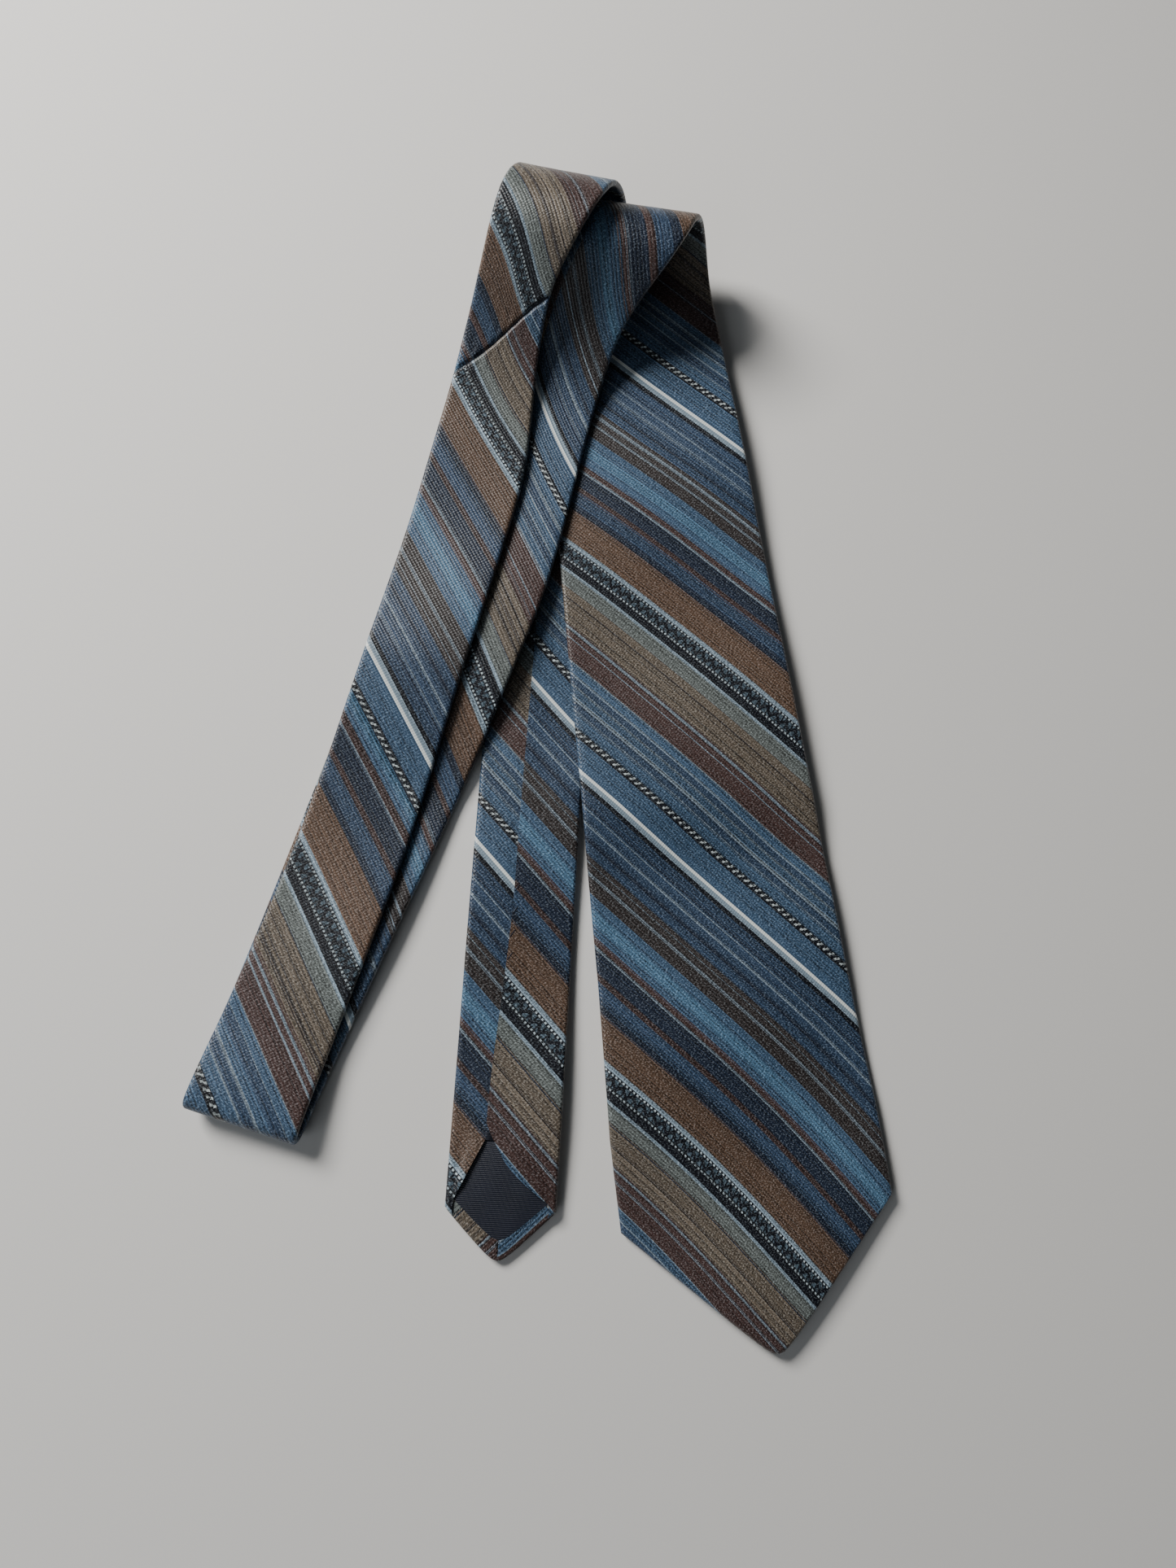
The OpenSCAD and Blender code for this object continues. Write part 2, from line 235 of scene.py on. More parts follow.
@dataclass
class Lie:
    """Where the whole tie lies: its widths and its four bends, in millimetres.

    The origin is the place of the wide point in the part's frame, in metres. Sway is how far the
    soft cloth strays across, and tuck how far its right edge is drawn in, at places along it.
    """

    length: float = 1502.0
    thick: float = 2.4
    air: float = 0.5
    blade_width: float = 88.0
    arch_width: float = 64.0
    fold_width: float = 37.0
    neck_width: float = 34.0
    neck_at: float = 905.0
    tail_width: float = 35.0
    arch_slope: float = 41.0
    ease_radius: float = 60.0
    inner_start: float = 376.0
    inner_radius: float = 15.5
    inner_skew: float = -13.4
    fold_at: float = 757.0
    fold_radius: float = 3.0
    fold_skew: float = -1.45
    step_out: float = 117.0
    outer_start: float = 1008.5
    outer_radius: float = 21.0
    outer_skew: float = 6.7
    blade_ramp: float = 153.0
    clearance: float = 0.3
    swell_height: float = 2.4
    broad_swell: tuple[float, float] = (21.0, 27.0)
    cross_swell: tuple[float, float] = (-25.0, 14.0)
    origin: Vector = field(default_factory=Vector)
    sway: list[tuple[float, float]] = field(
        default_factory=lambda: [
            (376.0, 0.0),
            (610.0, 3.0),
            (757.0, 0.0),
            (860.0, 4.0),
            (950.0, 3.6),
            (1040.0, 0.5),
            (1085.0, 0.5),
            (1140.0, 5.0),
            (1260.0, 0.0),
        ]
    )
    tuck: list[tuple[float, float]] = field(
        default_factory=lambda: [
            (412.0, 0.0),
            (462.0, -10.0),
            (570.0, 0.0),
            (985.0, 0.0),
            (1055.0, -8.0),
            (1100.0, 0.0),
        ]
    )
    bends: list[Bend] = field(init=False)
    widths: list[tuple[float, float]] = field(init=False)

    def __post_init__(self) -> None:
        """Set out the bends and the widths."""
        layer = self.thick + self.air
        loop = 180.0 + self.arch_slope
        ease = arc(self.ease_radius, self.arch_slope)
        inner = [
            arc(self.inner_radius, loop),
            (self._arch_straight(self.inner_radius, layer), 0.0),
            (ease[0], -self.arch_slope),
        ]
        outer = [
            ease,
            (self._arch_straight(self.outer_radius, 3.0 * layer), 0.0),
            arc(self.outer_radius, -loop),
        ]
        down = ramp(2.0 * layer)
        settle = [(run, -turn) for run, turn in ramp(2.0 * self.fold_radius - layer)]
        fold = arc(self.fold_radius, -180.0)
        reach = self.step_out - fold[0] / 2.0
        neck = [*down, (reach, 0.0), fold, *settle, (reach - run_of(settle), 0.0), *down]
        self.bends = [
            Bend(self.blade_ramp, 0.0, ramp(layer)),
            Bend(self.inner_start, self.inner_skew, inner),
            Bend(self.fold_at - self.step_out - run_of(down), self.fold_skew, neck),
            Bend(self.outer_start, self.outer_skew, outer),
        ]
        self.widths = [
            (0.0, self.blade_width),
            (self.shoulder, self.blade_width),
            (self.inner_start + 30.0, self.arch_width),
            (self.fold_at, self.fold_width),
            (self.neck_at, self.neck_width),
            (self.length - self.tail_width, self.tail_width),
        ]

    def _arch_straight(self, radius: float, rise: float) -> float:
        """Straight stretch between a loop and the slow bend that lays it down."""
        slope = math.radians(self.arch_slope)
        drop = radius * (1.0 + math.cos(slope)) - self.ease_radius * (1.0 - math.cos(slope))
        return (drop - rise) / math.sin(slope)

    @property
    def shoulder(self) -> float:
        """Distance from the wide point to its shoulders."""
        return self.blade_width / 2.0

    def half_width(self, s: float) -> float:
        """Half the tie's width at a place along it."""
        return line_value(self.widths, s) / 2.0

    def swell(self, x: float, y: float) -> float:
        """How far the soft cloth stands off the flat at a place on the table, in millimetres."""
        broad = math.sin(x / self.broad_swell[0] + y / self.broad_swell[1] + 0.6)
        cross = math.sin(y / self.cross_swell[1] + x / self.cross_swell[0])
        return self.swell_height * (2.0 + broad + cross) / 4.0

    def place(self, t: float, s: float, n: float) -> Vector:
        """Lay a point of the cloth down.

        Args:
            t: Millimetres across from the middle line.
            s: Millimetres along from the wide point.
            n: Millimetres off the middle of the thickness, on the face side.

        Returns:
            Its place in the part's frame, in metres.
        """
        index = 0
        while index + 1 < len(self.bends):
            if s < (self.bends[index].end + self.bends[index + 1].start) / 2.0:
                break
            index += 1
        half = self.half_width(s)
        shift = table_value(self.sway, s) + table_value(self.tuck, s) * smooth_step(-half, half, t)
        point = self.bends[index].apply(Vector((t + shift, s, n)))
        for bend in reversed(self.bends[:index]):
            point = bend.carry(point)
        point.z += self.thick / 2.0 + self.clearance + self.swell(point.x, point.y)
        return point * MM + self.origin


BIAS_PULL = [(20.0, 1.4), (110.0, 1.14), (240.0, 1.12), (330.0, 1.0)]
"""How much the bias is pulled down to the right, at places along the wide blade."""

BIAS_SAG = [(220.0, 0.0), (320.0, -5.0), (385.0, -5.0), (450.0, 0.0)]
"""How far the stripes have slipped towards the point, in millimetres, at places along the wide blade."""


class Panel(Enum):
    """The shell's three cut panels: which way the stripes run, and where the repeat falls."""

    BLADE = (-1.0, 115.5)
    NECK = (1.0, -626.9)
    TAIL = (1.0, -943.5)

    def cloth_uv(self, unrolled: float, s: float) -> tuple[float, float]:
        """Place of a point in the weaver's cloth.

        Args:
            unrolled: Millimetres across the unwrapped shell.
            s: Millimetres along the tie.

        Returns:
            UV values, across the stripes and along them.
        """
        sense, phase = self.value
        pulled, sag = unrolled, 0.0
        if self is Panel.BLADE:
            pulled = unrolled * table_value(BIAS_PULL, s)
            sag = table_value(BIAS_SAG, s)
        across = sense * (s + pulled) / math.sqrt(2.0) + phase + sag
        along = sense * (s - pulled) / math.sqrt(2.0)
        return across / UV_SCALE, along / UV_SCALE


# ---------------------------------------------------------------------------------------------
# Finishes
# ---------------------------------------------------------------------------------------------

Colour = tuple[float, float, float]


def dye(red: float, green: float, blue: float) -> Colour:
    """Turn a colour picked on a 0 to 255 card into the light the cloth returns."""
    return tuple(
        ((share / 255.0 + 0.055) / 1.055) ** 2.4 if share > 10.0 else share / 3294.6
        for share in (red, green, blue)
    )


class Bench:
    """Adds and wires the nodes of one finish."""

    def __init__(self, name: str) -> None:
        """Start a material with an empty node tree.

        Args:
            name: Name of the material.
        """
        self.material = bpy.data.materials.new(name)
        self.material.use_nodes = True
        self.tree = self.material.node_tree
        self.shader = self.tree.nodes["Principled BSDF"]

    def wire(self, value: object, socket: bpy.types.NodeSocket) -> None:
        """Feed a socket with a number, a colour or another node's output."""
        if isinstance(value, bpy.types.NodeSocket):
            self.tree.links.new(value, socket)
        elif isinstance(value, tuple) and len(value) == 3 and socket.type == "RGBA":
            socket.default_value = (*value, 1.0)
        else:
            socket.default_value = value

    def sum(self, operation: str, *terms: object) -> bpy.types.NodeSocket:
        """Work a sum on numbers.

        Args:
            operation: Name of the Math node's operation.
            terms: Numbers or outputs, in the node's order.

        Returns:
            The result's output.
        """
        node = self.tree.nodes.new("ShaderNodeMath")
        node.operation = operation
        for term, socket in zip(terms, node.inputs):
            self.wire(term, socket)
        return node.outputs[0]

    def uv(self) -> tuple[bpy.types.NodeSocket, bpy.types.NodeSocket]:
        """Read the cloth's own coordinates in millimetres, across and along."""
        node = self.tree.nodes.new("ShaderNodeUVMap")
        node.uv_map = "cloth"
        apart = self.tree.nodes.new("ShaderNodeSeparateXYZ")
        self.tree.links.new(node.outputs[0], apart.inputs[0])
        across = self.sum("MULTIPLY", apart.outputs[0], UV_SCALE)
        return across, self.sum("MULTIPLY", apart.outputs[1], UV_SCALE)

    def spot(self, x: object, y: object, z: object = 0.0) -> bpy.types.NodeSocket:
        """Join three numbers into a place."""
        node = self.tree.nodes.new("ShaderNodeCombineXYZ")
        for value, socket in zip((x, y, z), node.inputs):
            self.wire(value, socket)
        return node.outputs[0]

    def noise(self, place: bpy.types.NodeSocket, scale: float, detail: float = 2.0) -> bpy.types.NodeSocket:
        """Read soft noise at a place."""
        node = self.tree.nodes.new("ShaderNodeTexNoise")
        node.inputs["Scale"].default_value = scale
        node.inputs["Detail"].default_value = detail
        self.tree.links.new(place, node.inputs["Vector"])
        return node.outputs[0]

    def per_thread(self, place: bpy.types.NodeSocket) -> bpy.types.NodeSocket:
        """Read one random number for each whole number of place."""
        node = self.tree.nodes.new("ShaderNodeTexWhiteNoise")
        node.noise_dimensions = "1D"
        self.tree.links.new(place, node.inputs["W"])
        return node.outputs[0]

    def mix(self, amount: object, first: object, second: object, blend: str = "MIX") -> bpy.types.NodeSocket:
        """Mix two colours.

        Args:
            amount: Share of the second colour.
            first: Colour or output.
            second: Colour or output.
            blend: Name of the blend.

        Returns:
            The mixed colour's output.
        """
        node = self.tree.nodes.new("ShaderNodeMix")
        node.data_type = "RGBA"
        node.blend_type = blend
        self.wire(amount, node.inputs[0])
        self.wire(first, node.inputs[6])
        self.wire(second, node.inputs[7])
        return node.outputs[2]

    def between(self, value: object, low: float, high: float) -> bpy.types.NodeSocket:
        """Return 1 where a value is between two numbers, and 0 elsewhere."""
        above = self.sum("GREATER_THAN", value, low)
        return self.sum("MULTIPLY", above, self.sum("LESS_THAN", value, high))

    def wave(self, value: object, length: float) -> bpy.types.NodeSocket:
        """Swing from 0 to 1 and back once in every length of value."""
        turn = self.sum("MULTIPLY", value, 2.0 * math.pi / length)
        return self.sum("MULTIPLY_ADD", self.sum("SINE", turn), 0.5, 0.5)

    def relief(self, height: object, depth: float) -> None:
        """Give the surface fine relief.

        Args:
            height: Output from 0 to 1.
            depth: What 1 stands for, in metres.
        """
        node = self.tree.nodes.new("ShaderNodeBump")
        node.inputs["Strength"].default_value = 1.0
        node.inputs["Distance"].default_value = depth
        self.wire(height, node.inputs["Height"])
        self.tree.links.new(node.outputs[0], self.shader.inputs["Normal"])

    def settle(self, roughness: float, sheen: float, specular: float) -> None:
        """Set what is the same all over the surface."""
        self.shader.inputs["Roughness"].default_value = roughness
        self.shader.inputs["Sheen Weight"].default_value = sheen
        self.shader.inputs["Sheen Roughness"].default_value = 0.4
        self.shader.inputs["Specular IOR Level"].default_value = specular


BLUE = dye(60, 83, 108)
SLATE = dye(48, 66, 90)
DEEP = dye(28, 38, 56)
SKY = dye(74, 107, 134)
PALE = dye(128, 146, 160)
GLINT = dye(112, 126, 138)
BARK = dye(52, 46, 45)
TAN = dye(92, 72, 58)
RUST = dye(68, 50, 47)
OLIVE = dye(104, 94, 82)
ASH = dye(98, 104, 102)
INK = dye(10, 13, 24)
IVORY = dye(224, 230, 228)

PLAN = 141.0
"""Length of the stripe plan, from one dotted stripe to the next, as it is drawn."""

STRIPES: list[tuple[float, Colour]] = [
    (0.0, INK),
    (1.3, BLUE),
    (9.4, IVORY),
    (11.0, PALE),
    (12.2, INK),
    (13.9, SLATE),
    (17.2, DEEP),
    (17.9, SLATE),
    (18.9, GLINT),
    (19.3, SLATE),
    (23.1, GLINT),
    (23.6, SLATE),
    (26.8, DEEP),
    (27.6, SLATE),
    (31.0, BARK),
    (33.0, GLINT),
    (33.5, BARK),
    (36.0, GLINT),
    (36.5, BARK),
    (41.2, BLUE),
    (44.8, SKY),
    (48.6, BLUE),
    (52.0, RUST),
    (54.4, GLINT),
    (54.9, DEEP),
    (58.4, GLINT),
    (58.9, DEEP),
    (60.8, RUST),
    (62.8, SLATE),
    (64.6, GLINT),
    (65.0, SLATE),
    (67.8, GLINT),
    (68.2, DEEP),
    (71.0, TAN),
    (82.6, PALE),
    (84.1, INK),
    (90.5, INK),
    (92.8, PALE),
    (94.0, ASH),
    (98.8, DEEP),
    (99.4, OLIVE),
    (102.0, BARK),
    (102.6, OLIVE),
    (104.8, BARK),
    (105.4, OLIVE),
    (107.6, BARK),
    (108.3, OLIVE),
    (110.2, RUST),
    (111.4, GLINT),
    (111.9, RUST),
    (114.2, GLINT),
    (114.7, RUST),
    (119.0, GLINT),
    (119.5, RUST),
    (121.4, GLINT),
    (121.9, BLUE),
    (124.8, GLINT),
    (125.2, SLATE),
    (128.0, GLINT),
    (128.4, BLUE),
    (131.4, GLINT),
    (131.8, SLATE),
    (135.2, GLINT),
    (135.6, BLUE),
    (139.7, INK),
]
"""Where each stripe begins in the repeat, in millimetres, and its colour."""


@dataclass(frozen=True)
class StripedSilk:
    """Rep-woven silk: bias stripes, fine ribs that run with them, slanting flecks, and a painted highlight on
    the brightest flecks.
    """

    name: str = "striped_silk"
    rib: float = 1.1
    repeat: float = 139.0
    threads_per_mm: float = 2.2
    stray: float = 1.0
    mingled: tuple[tuple[float, float], ...] = ((2.8, 8.0), (15.5, 81.2), (95.3, 138.0))
    band_edges: tuple[float, float] = (84.1, 90.5)
    ivory_line: tuple[float, float] = (9.3, 12.1)
    flecks_per_mm: tuple[float, float] = (2.8, 1.1)
    lean: float = 0.45
    dash: float = 2.6
    dash_slant: float = 0.55
    dotted_half: float = 0.85
    scroll: float = 4.4
    scroll_swing: float = 0.95
    scroll_half: float = 0.85
    bead: float = 1.5
    bead_half: float = 0.34
    relief: float = 0.00014
    streaks_per_mm: tuple[float, float] = (1.7, 0.16)
    bright_over: float = 0.59
    dark_under: float = 0.43
    ground_light: float = 0.34
    thread_contrast: float = 0.5
    broad_contrast: float = 0.16
    streak_contrast: float = 0.9
    rib_contrast: float = 0.42
    bright_gain: float = 0.75
    dark_loss: float = 0.42
    least_light: float = 0.12
    ivory_light: float = 0.95
    # Share of the painted highlight, a pale grey glint, mixed into the brightest flecks.
    painted_glint_share: float = 0.16
    weft: float = 0.9
    stops_in_ramp: int = 30

    def make(self) -> bpy.types.Material:
        """Build the material.

        Returns:
            The finished material.
        """
        bench = Bench(self.name)
        across, along = bench.uv()
        place = bench.sum("FLOORED_MODULO", bench.sum("MULTIPLY", across, PLAN / self.repeat), PLAN)
        colour = self._stripes(bench, self._interleaved(bench, across, place))
        colour = self._dots(bench, colour, place, along)
        colour = self._band(bench, colour, place, along)
        colour, height = self._threads(bench, colour, across, along, place)
        bench.tree.links.new(colour, bench.shader.inputs["Base Color"])
        bench.relief(height, self.relief)
        bench.settle(roughness=0.42, sheen=0.06, specular=0.45)
        return bench.material

    def _interleaved(
        self,
        bench: Bench,
        across: bpy.types.NodeSocket,
        place: bpy.types.NodeSocket,
    ) -> bpy.types.NodeSocket:
        """Let the threads of plain neighbouring stripes mingle where they meet."""
        thread = bench.sum("FLOOR", bench.sum("MULTIPLY", across, self.threads_per_mm))
        stray = bench.sum("SUBTRACT", bench.per_thread(thread), 0.5)
        plain = None
        for low, high in self.mingled:
            part = bench.between(place, low, high)
            plain = part if plain is None else bench.sum("ADD", plain, part)
        return bench.sum("MULTIPLY_ADD", bench.sum("MULTIPLY", stray, self.stray), plain, place)

    def _stripes(self, bench: Bench, place: bpy.types.NodeSocket) -> bpy.types.NodeSocket:
        """Lay the flat stripe colours out over one repeat."""
        share = bench.sum("DIVIDE", place, PLAN)
        colour = None
        for first in range(0, len(STRIPES), self.stops_in_ramp):
            group = STRIPES[first : first + self.stops_in_ramp]
            node = bench.tree.nodes.new("ShaderNodeValToRGB")
            ramp = node.color_ramp
            ramp.interpolation = "CONSTANT"
            ramp.elements.remove(ramp.elements[1])
            for index, (start, tint) in enumerate(group):
                stop = ramp.elements[0] if index == 0 else ramp.elements.new(start / PLAN)
                stop.position = start / PLAN
                stop.color = (*tint, 1.0)
            bench.tree.links.new(share, node.inputs[0])
            beyond = bench.sum("GREATER_THAN", place, group[0][0] - 0.001)
            colour = node.outputs[0] if colour is None else bench.mix(beyond, colour, node.outputs[0])
        return colour

    def _dots(
        self,
        bench: Bench,
        colour: bpy.types.NodeSocket,
        place: bpy.types.NodeSocket,
        along: bpy.types.NodeSocket,
    ) -> bpy.types.NodeSocket:
        """Set slanting pale dashes in the dotted stripe."""
        slanted = bench.sum("MULTIPLY_ADD", place, self.dash_slant, along)
        dash = bench.sum("GREATER_THAN", bench.wave(slanted, self.dash), 0.72)
        edge = bench.sum("PINGPONG", place, PLAN / 2.0)
        in_dots = bench.sum("LESS_THAN", edge, self.dotted_half)
        shown = bench.sum("MULTIPLY", dash, in_dots)
        return bench.mix(shown, colour, dye(176, 186, 188))

    def _band(
        self,
        bench: Bench,
        colour: bpy.types.NodeSocket,
        place: bpy.types.NodeSocket,
        along: bpy.types.NodeSocket,
    ) -> bpy.types.NodeSocket:
        """Work the figured band: two rows of pale dots with a dark scroll between them."""
        low, high = self.band_edges
        middle = (low + high) / 2.0
        field_mask = bench.between(place, low + 1.4, high - 1.4)
        colour = bench.mix(field_mask, colour, dye(70, 86, 98))
        wander = bench.wave(along, self.scroll)
        swing = bench.sum("MULTIPLY_ADD", wander, 2.0 * self.scroll_swing, middle - self.scroll_swing)
        away = bench.sum("ABSOLUTE", bench.sum("SUBTRACT", place, swing))
        scroll = bench.sum("LESS_THAN", away, self.scroll_half)
        shifted = bench.sum("ADD", along, self.scroll / 4.0)
        knots = bench.sum("GREATER_THAN", bench.wave(shifted, self.scroll / 2.0), 0.82)
        scroll = bench.sum("MULTIPLY", bench.sum("MAXIMUM", scroll, knots), field_mask)
        colour = bench.mix(scroll, colour, INK)
        for row in (low + 0.75, high - 0.75):
            from_row = bench.sum("ABSOLUTE", bench.sum("SUBTRACT", place, row))
            near = bench.sum("LESS_THAN", from_row, self.bead_half)
            bead = bench.sum("GREATER_THAN", bench.wave(along, self.bead), 0.5)
            colour = bench.mix(bench.sum("MULTIPLY", near, bead), colour, dye(170, 184, 190))
        return colour

    def _threads(
        self,
        bench: Bench,
        colour: bpy.types.NodeSocket,
        across: bpy.types.NodeSocket,
        along: bpy.types.NodeSocket,
        place: bpy.types.NodeSocket,
    ) -> tuple[bpy.types.NodeSocket, bpy.types.NodeSocket]:
        """Break the colours up into threads, and paint a highlight on the brightest flecks.

        Args:
            bench: The finish's nodes.
            colour: Flat stripe colours.
            across: Millimetres square to the stripes.
            along: Millimetres along them.
            place: Millimetres from the start of the repeat.

        Returns:
            The broken colour, and the height of the threads.
        """
        rib_place = bench.sum("DIVIDE", across, self.rib)
        tone = bench.per_thread(bench.sum("FLOOR", bench.sum("MULTIPLY", rib_place, 2.0)))
        broad_tone = bench.per_thread(bench.sum("FLOOR", bench.sum("DIVIDE", rib_place, 3.0)))
        rib = bench.wave(across, self.rib)
        lean_across = bench.sum("MULTIPLY_ADD", along, self.lean, across)
        lean_along = bench.sum("MULTIPLY_ADD", across, -self.lean, along)
        fleck_spot = bench.spot(
            bench.sum("MULTIPLY", lean_across, self.flecks_per_mm[0]),
            bench.sum("MULTIPLY", lean_along, self.flecks_per_mm[1]),
        )
        flecks = bench.noise(fleck_spot, 1.0, 1.0)
        streak_spot = bench.spot(
            bench.sum("MULTIPLY", across, self.streaks_per_mm[0]),
            bench.sum("MULTIPLY", along, self.streaks_per_mm[1]),
        )
        streaks = bench.noise(streak_spot, 1.0, 3.0)
        bright = bench.sum("GREATER_THAN", flecks, self.bright_over)
        dark = bench.sum("LESS_THAN", flecks, self.dark_under)
        light = bench.sum("MULTIPLY_ADD", tone, self.thread_contrast, self.ground_light)
        for part, strength in (
            (broad_tone, self.broad_contrast),
            (bench.sum("SUBTRACT", streaks, 0.5), self.streak_contrast),
            (rib, self.rib_contrast),
            (bright, self.bright_gain),
            (dark, -self.dark_loss),
        ):
            light = bench.sum("MULTIPLY_ADD", part, strength, light)
        light = bench.sum("MAXIMUM", light, self.least_light)
        smooth = bench.between(place, *self.ivory_line)
        woven = bench.sum("SUBTRACT", 1.0, smooth)
        light = bench.sum("MULTIPLY_ADD", light, woven, bench.sum("MULTIPLY", smooth, self.ivory_light))
        colour = bench.mix(1.0, colour, bench.spot(light, light, light), "MULTIPLY")
        # Painted highlight: the brightest woven flecks are mixed towards a pale grey glint.
        painted_glint = bench.sum("MULTIPLY", bright, woven)
        colour = bench.mix(bench.sum("MULTIPLY", painted_glint, self.painted_glint_share), colour, dye(182, 194, 200))
        weft = bench.wave(bench.sum("MULTIPLY_ADD", rib_place, 0.5, lean_along), self.weft)
        height = bench.sum("ADD", bench.sum("MULTIPLY", rib, 0.55), bench.sum("MULTIPLY", weft, 0.25))
        return colour, bench.sum("MULTIPLY_ADD", flecks, 0.3, height)


@dataclass(frozen=True)
class RibbedLining:
    """Near-black navy lining with a fine cross rib."""

    name: str = "ribbed_lining"
    rib: float = 0.6

    def make(self) -> bpy.types.Material:
        """Build the material.

        Returns:
            The finished material.
        """
        bench = Bench(self.name)
        across, along = bench.uv()
        rib = bench.wave(along, self.rib)
        cross = bench.wave(across, self.rib / 2.0)
        soft = bench.noise(bench.spot(across, along), 0.12)
        shade = bench.sum("MULTIPLY_ADD", rib, 0.5, bench.sum("MULTIPLY", soft, 0.5))
        colour = bench.mix(shade, dye(9, 12, 22), dye(30, 36, 54))
        bench.tree.links.new(colour, bench.shader.inputs["Base Color"])
        bench.relief(bench.sum("MULTIPLY_ADD", cross, 0.3, rib), 0.00008)
        bench.settle(roughness=0.45, sheen=0.1, specular=0.4)
        return bench.material


@dataclass(frozen=True)
class BrushedWool:
    """Off-white brushed interlining."""

    name: str = "brushed_wool"

    def make(self) -> bpy.types.Material:
        """Build the material.

        Returns:
            The finished material.
        """
        bench = Bench(self.name)
        across, along = bench.uv()
        nap = bench.noise(bench.spot(across, along), 1.3, 6.0)
        weave = bench.sum("MULTIPLY", bench.wave(across, 0.9), bench.wave(along, 0.9))
        shade = bench.sum("MULTIPLY_ADD", weave, 0.4, bench.sum("MULTIPLY", nap, 0.6))
        colour = bench.mix(shade, dye(176, 170, 156), dye(232, 226, 212))
        bench.tree.links.new(colour, bench.shader.inputs["Base Color"])
        bench.relief(shade, 0.0002)
        bench.settle(roughness=0.95, sheen=0.4, specular=0.1)
        return bench.material


@dataclass(frozen=True)
class SewingThread:
    """Dark twisted sewing thread."""

    name: str = "sewing_thread"

    def make(self) -> bpy.types.Material:
        """Build the material.

        Returns:
            The finished material.
        """
        bench = Bench(self.name)
        coordinates = bench.tree.nodes.new("ShaderNodeTexCoord")
        twist = bench.noise(coordinates.outputs["Object"], 2600.0, 2.0)
        colour = bench.mix(twist, dye(8, 10, 18), dye(36, 42, 60))
        bench.tree.links.new(colour, bench.shader.inputs["Base Color"])
        bench.relief(twist, 0.00008)
        bench.settle(roughness=0.6, sheen=0.15, specular=0.3)
        return bench.material


# ---------------------------------------------------------------------------------------------
# Cloth pieces, drawn flat and laid down
# ---------------------------------------------------------------------------------------------


@dataclass
class Rows:
    """The crosswise lines of one cut piece: where they are, how they slant, how they come to a point."""

    start: float
    end: float
    slants: list[tuple[float, float]] = field(default_factory=lambda: [(0.0, 0.0)])
    points: list[tuple[float, float]] = field(default_factory=lambda: [(0.0, 0.0)])
    fine: list[tuple[float, float]] = field(default_factory=list)
    step: float = 2.6
    fine_step: float = 0.6
    blunt: float = 2.6

    def stations(self) -> list[float]:
        """Places of the rows along the middle line."""
        found = [self.start]
        while found[-1] < self.end - 0.2:
            here = found[-1]
            close = any(low <= here <= high for low, high in self.fine)
            ahead = min([low - here for low, _ in self.fine if low > here], default=self.step)
            step = self.fine_step if close else min(self.step, max(ahead, self.fine_step))
            found.append(min(here + step, self.end))
        return found

    def along(self, row: float, t: float) -> float:
        """Place along the cloth of a row's point that is t across from the middle line."""
        point = line_value(self.points, row) * math.hypot(t, self.blunt)
        return row + line_value(self.slants, row) * t + point


@dataclass
class ClothPiece:
    """One piece of cloth: a flat grid of rows and columns, laid where the tie lies."""

    name: str
    lie: Lie
    rows: Rows
    wall: float
    finish: bpy.types.Material
    slot: str

    def columns(self) -> list[float]:
        """Places across the piece, each from 0 to 1."""
        raise NotImplementedError

    def across(self, share: float, row: float) -> tuple[float, float, float]:
        """Place of one column in a row: across, off the middle on the face side, and unrolled."""
        raise NotImplementedError

    def uv(self, unrolled: float, s: float) -> tuple[float, float]:
        """Place of a point in the finish's own coordinates."""
        return unrolled / UV_SCALE, s / UV_SCALE

    def build(self) -> bpy.types.Object:
        """Make the piece.

        Returns:
            The piece, thickened, with its finish and its cloth coordinates.
        """
        stations = self.rows.stations()
        columns = self.columns()
        bm = bmesh.new()
        bmesh.ops.create_grid(bm, x_segments=len(columns) - 1, y_segments=len(stations) - 1, size=0.5)
        marks: dict[bmesh.types.BMVert, tuple[float, float]] = {}
        for vert in bm.verts:
            share = columns[round((vert.co.x + 0.5) * (len(columns) - 1))]
            row = stations[round((vert.co.y + 0.5) * (len(stations) - 1))]
            t, n, unrolled = self.across(share, row)
            s = self.rows.along(row, t)
            marks[vert] = self.uv(unrolled, s)
            vert.co = self.lie.place(t, s, n)
        layer = bm.loops.layers.uv.new("cloth")
        for face in bm.faces:
            face.smooth = True
            for loop in face.loops:
                loop[layer].uv = marks[loop.vert]
        return finish_piece(bm, self.name, self.finish, self.wall)

    def flat_size(self) -> tuple[tuple[float, float], float]:
        """Cut size of the flat cloth, in metres, and its area in square metres."""
        stations = self.rows.stations()
        spans = [self.across(1.0, row)[2] - self.across(0.0, row)[2] for row in stations]
        area = sum((b - a) * (v + w) / 2.0 for a, b, v, w in zip(stations, stations[1:], spans, spans[1:]))
        return (max(spans) * MM, (self.rows.end - self.rows.start) * MM), area * MM * MM


def finish_piece(
    bm: bmesh.types.BMesh,
    name: str,
    finish: bpy.types.Material,
    wall: float = 0.0,
) -> bpy.types.Object:
    """Turn a bmesh into a dressed piece.

    Args:
        bm: The shape, in metres; it is freed.
        name: Name of the piece.
        finish: Material.
        wall: Thickness in millimetres, or 0 for a shape that is already solid.

    Returns:
        The new object.
    """
    for edge in bm.edges:
        edge.smooth = not edge.is_boundary
    mesh = bpy.data.meshes.new(name)
    bm.to_mesh(mesh)
    bm.free()
    mesh.materials.append(finish)
    piece = bpy.data.objects.new(name, mesh)
    bpy.context.scene.collection.objects.link(piece)
    if wall:
        thicken = piece.modifiers.new("wall", "SOLIDIFY")
        thicken.thickness = wall * MM
        thicken.offset = -1.0
        thicken.use_even_offset = False
    return piece


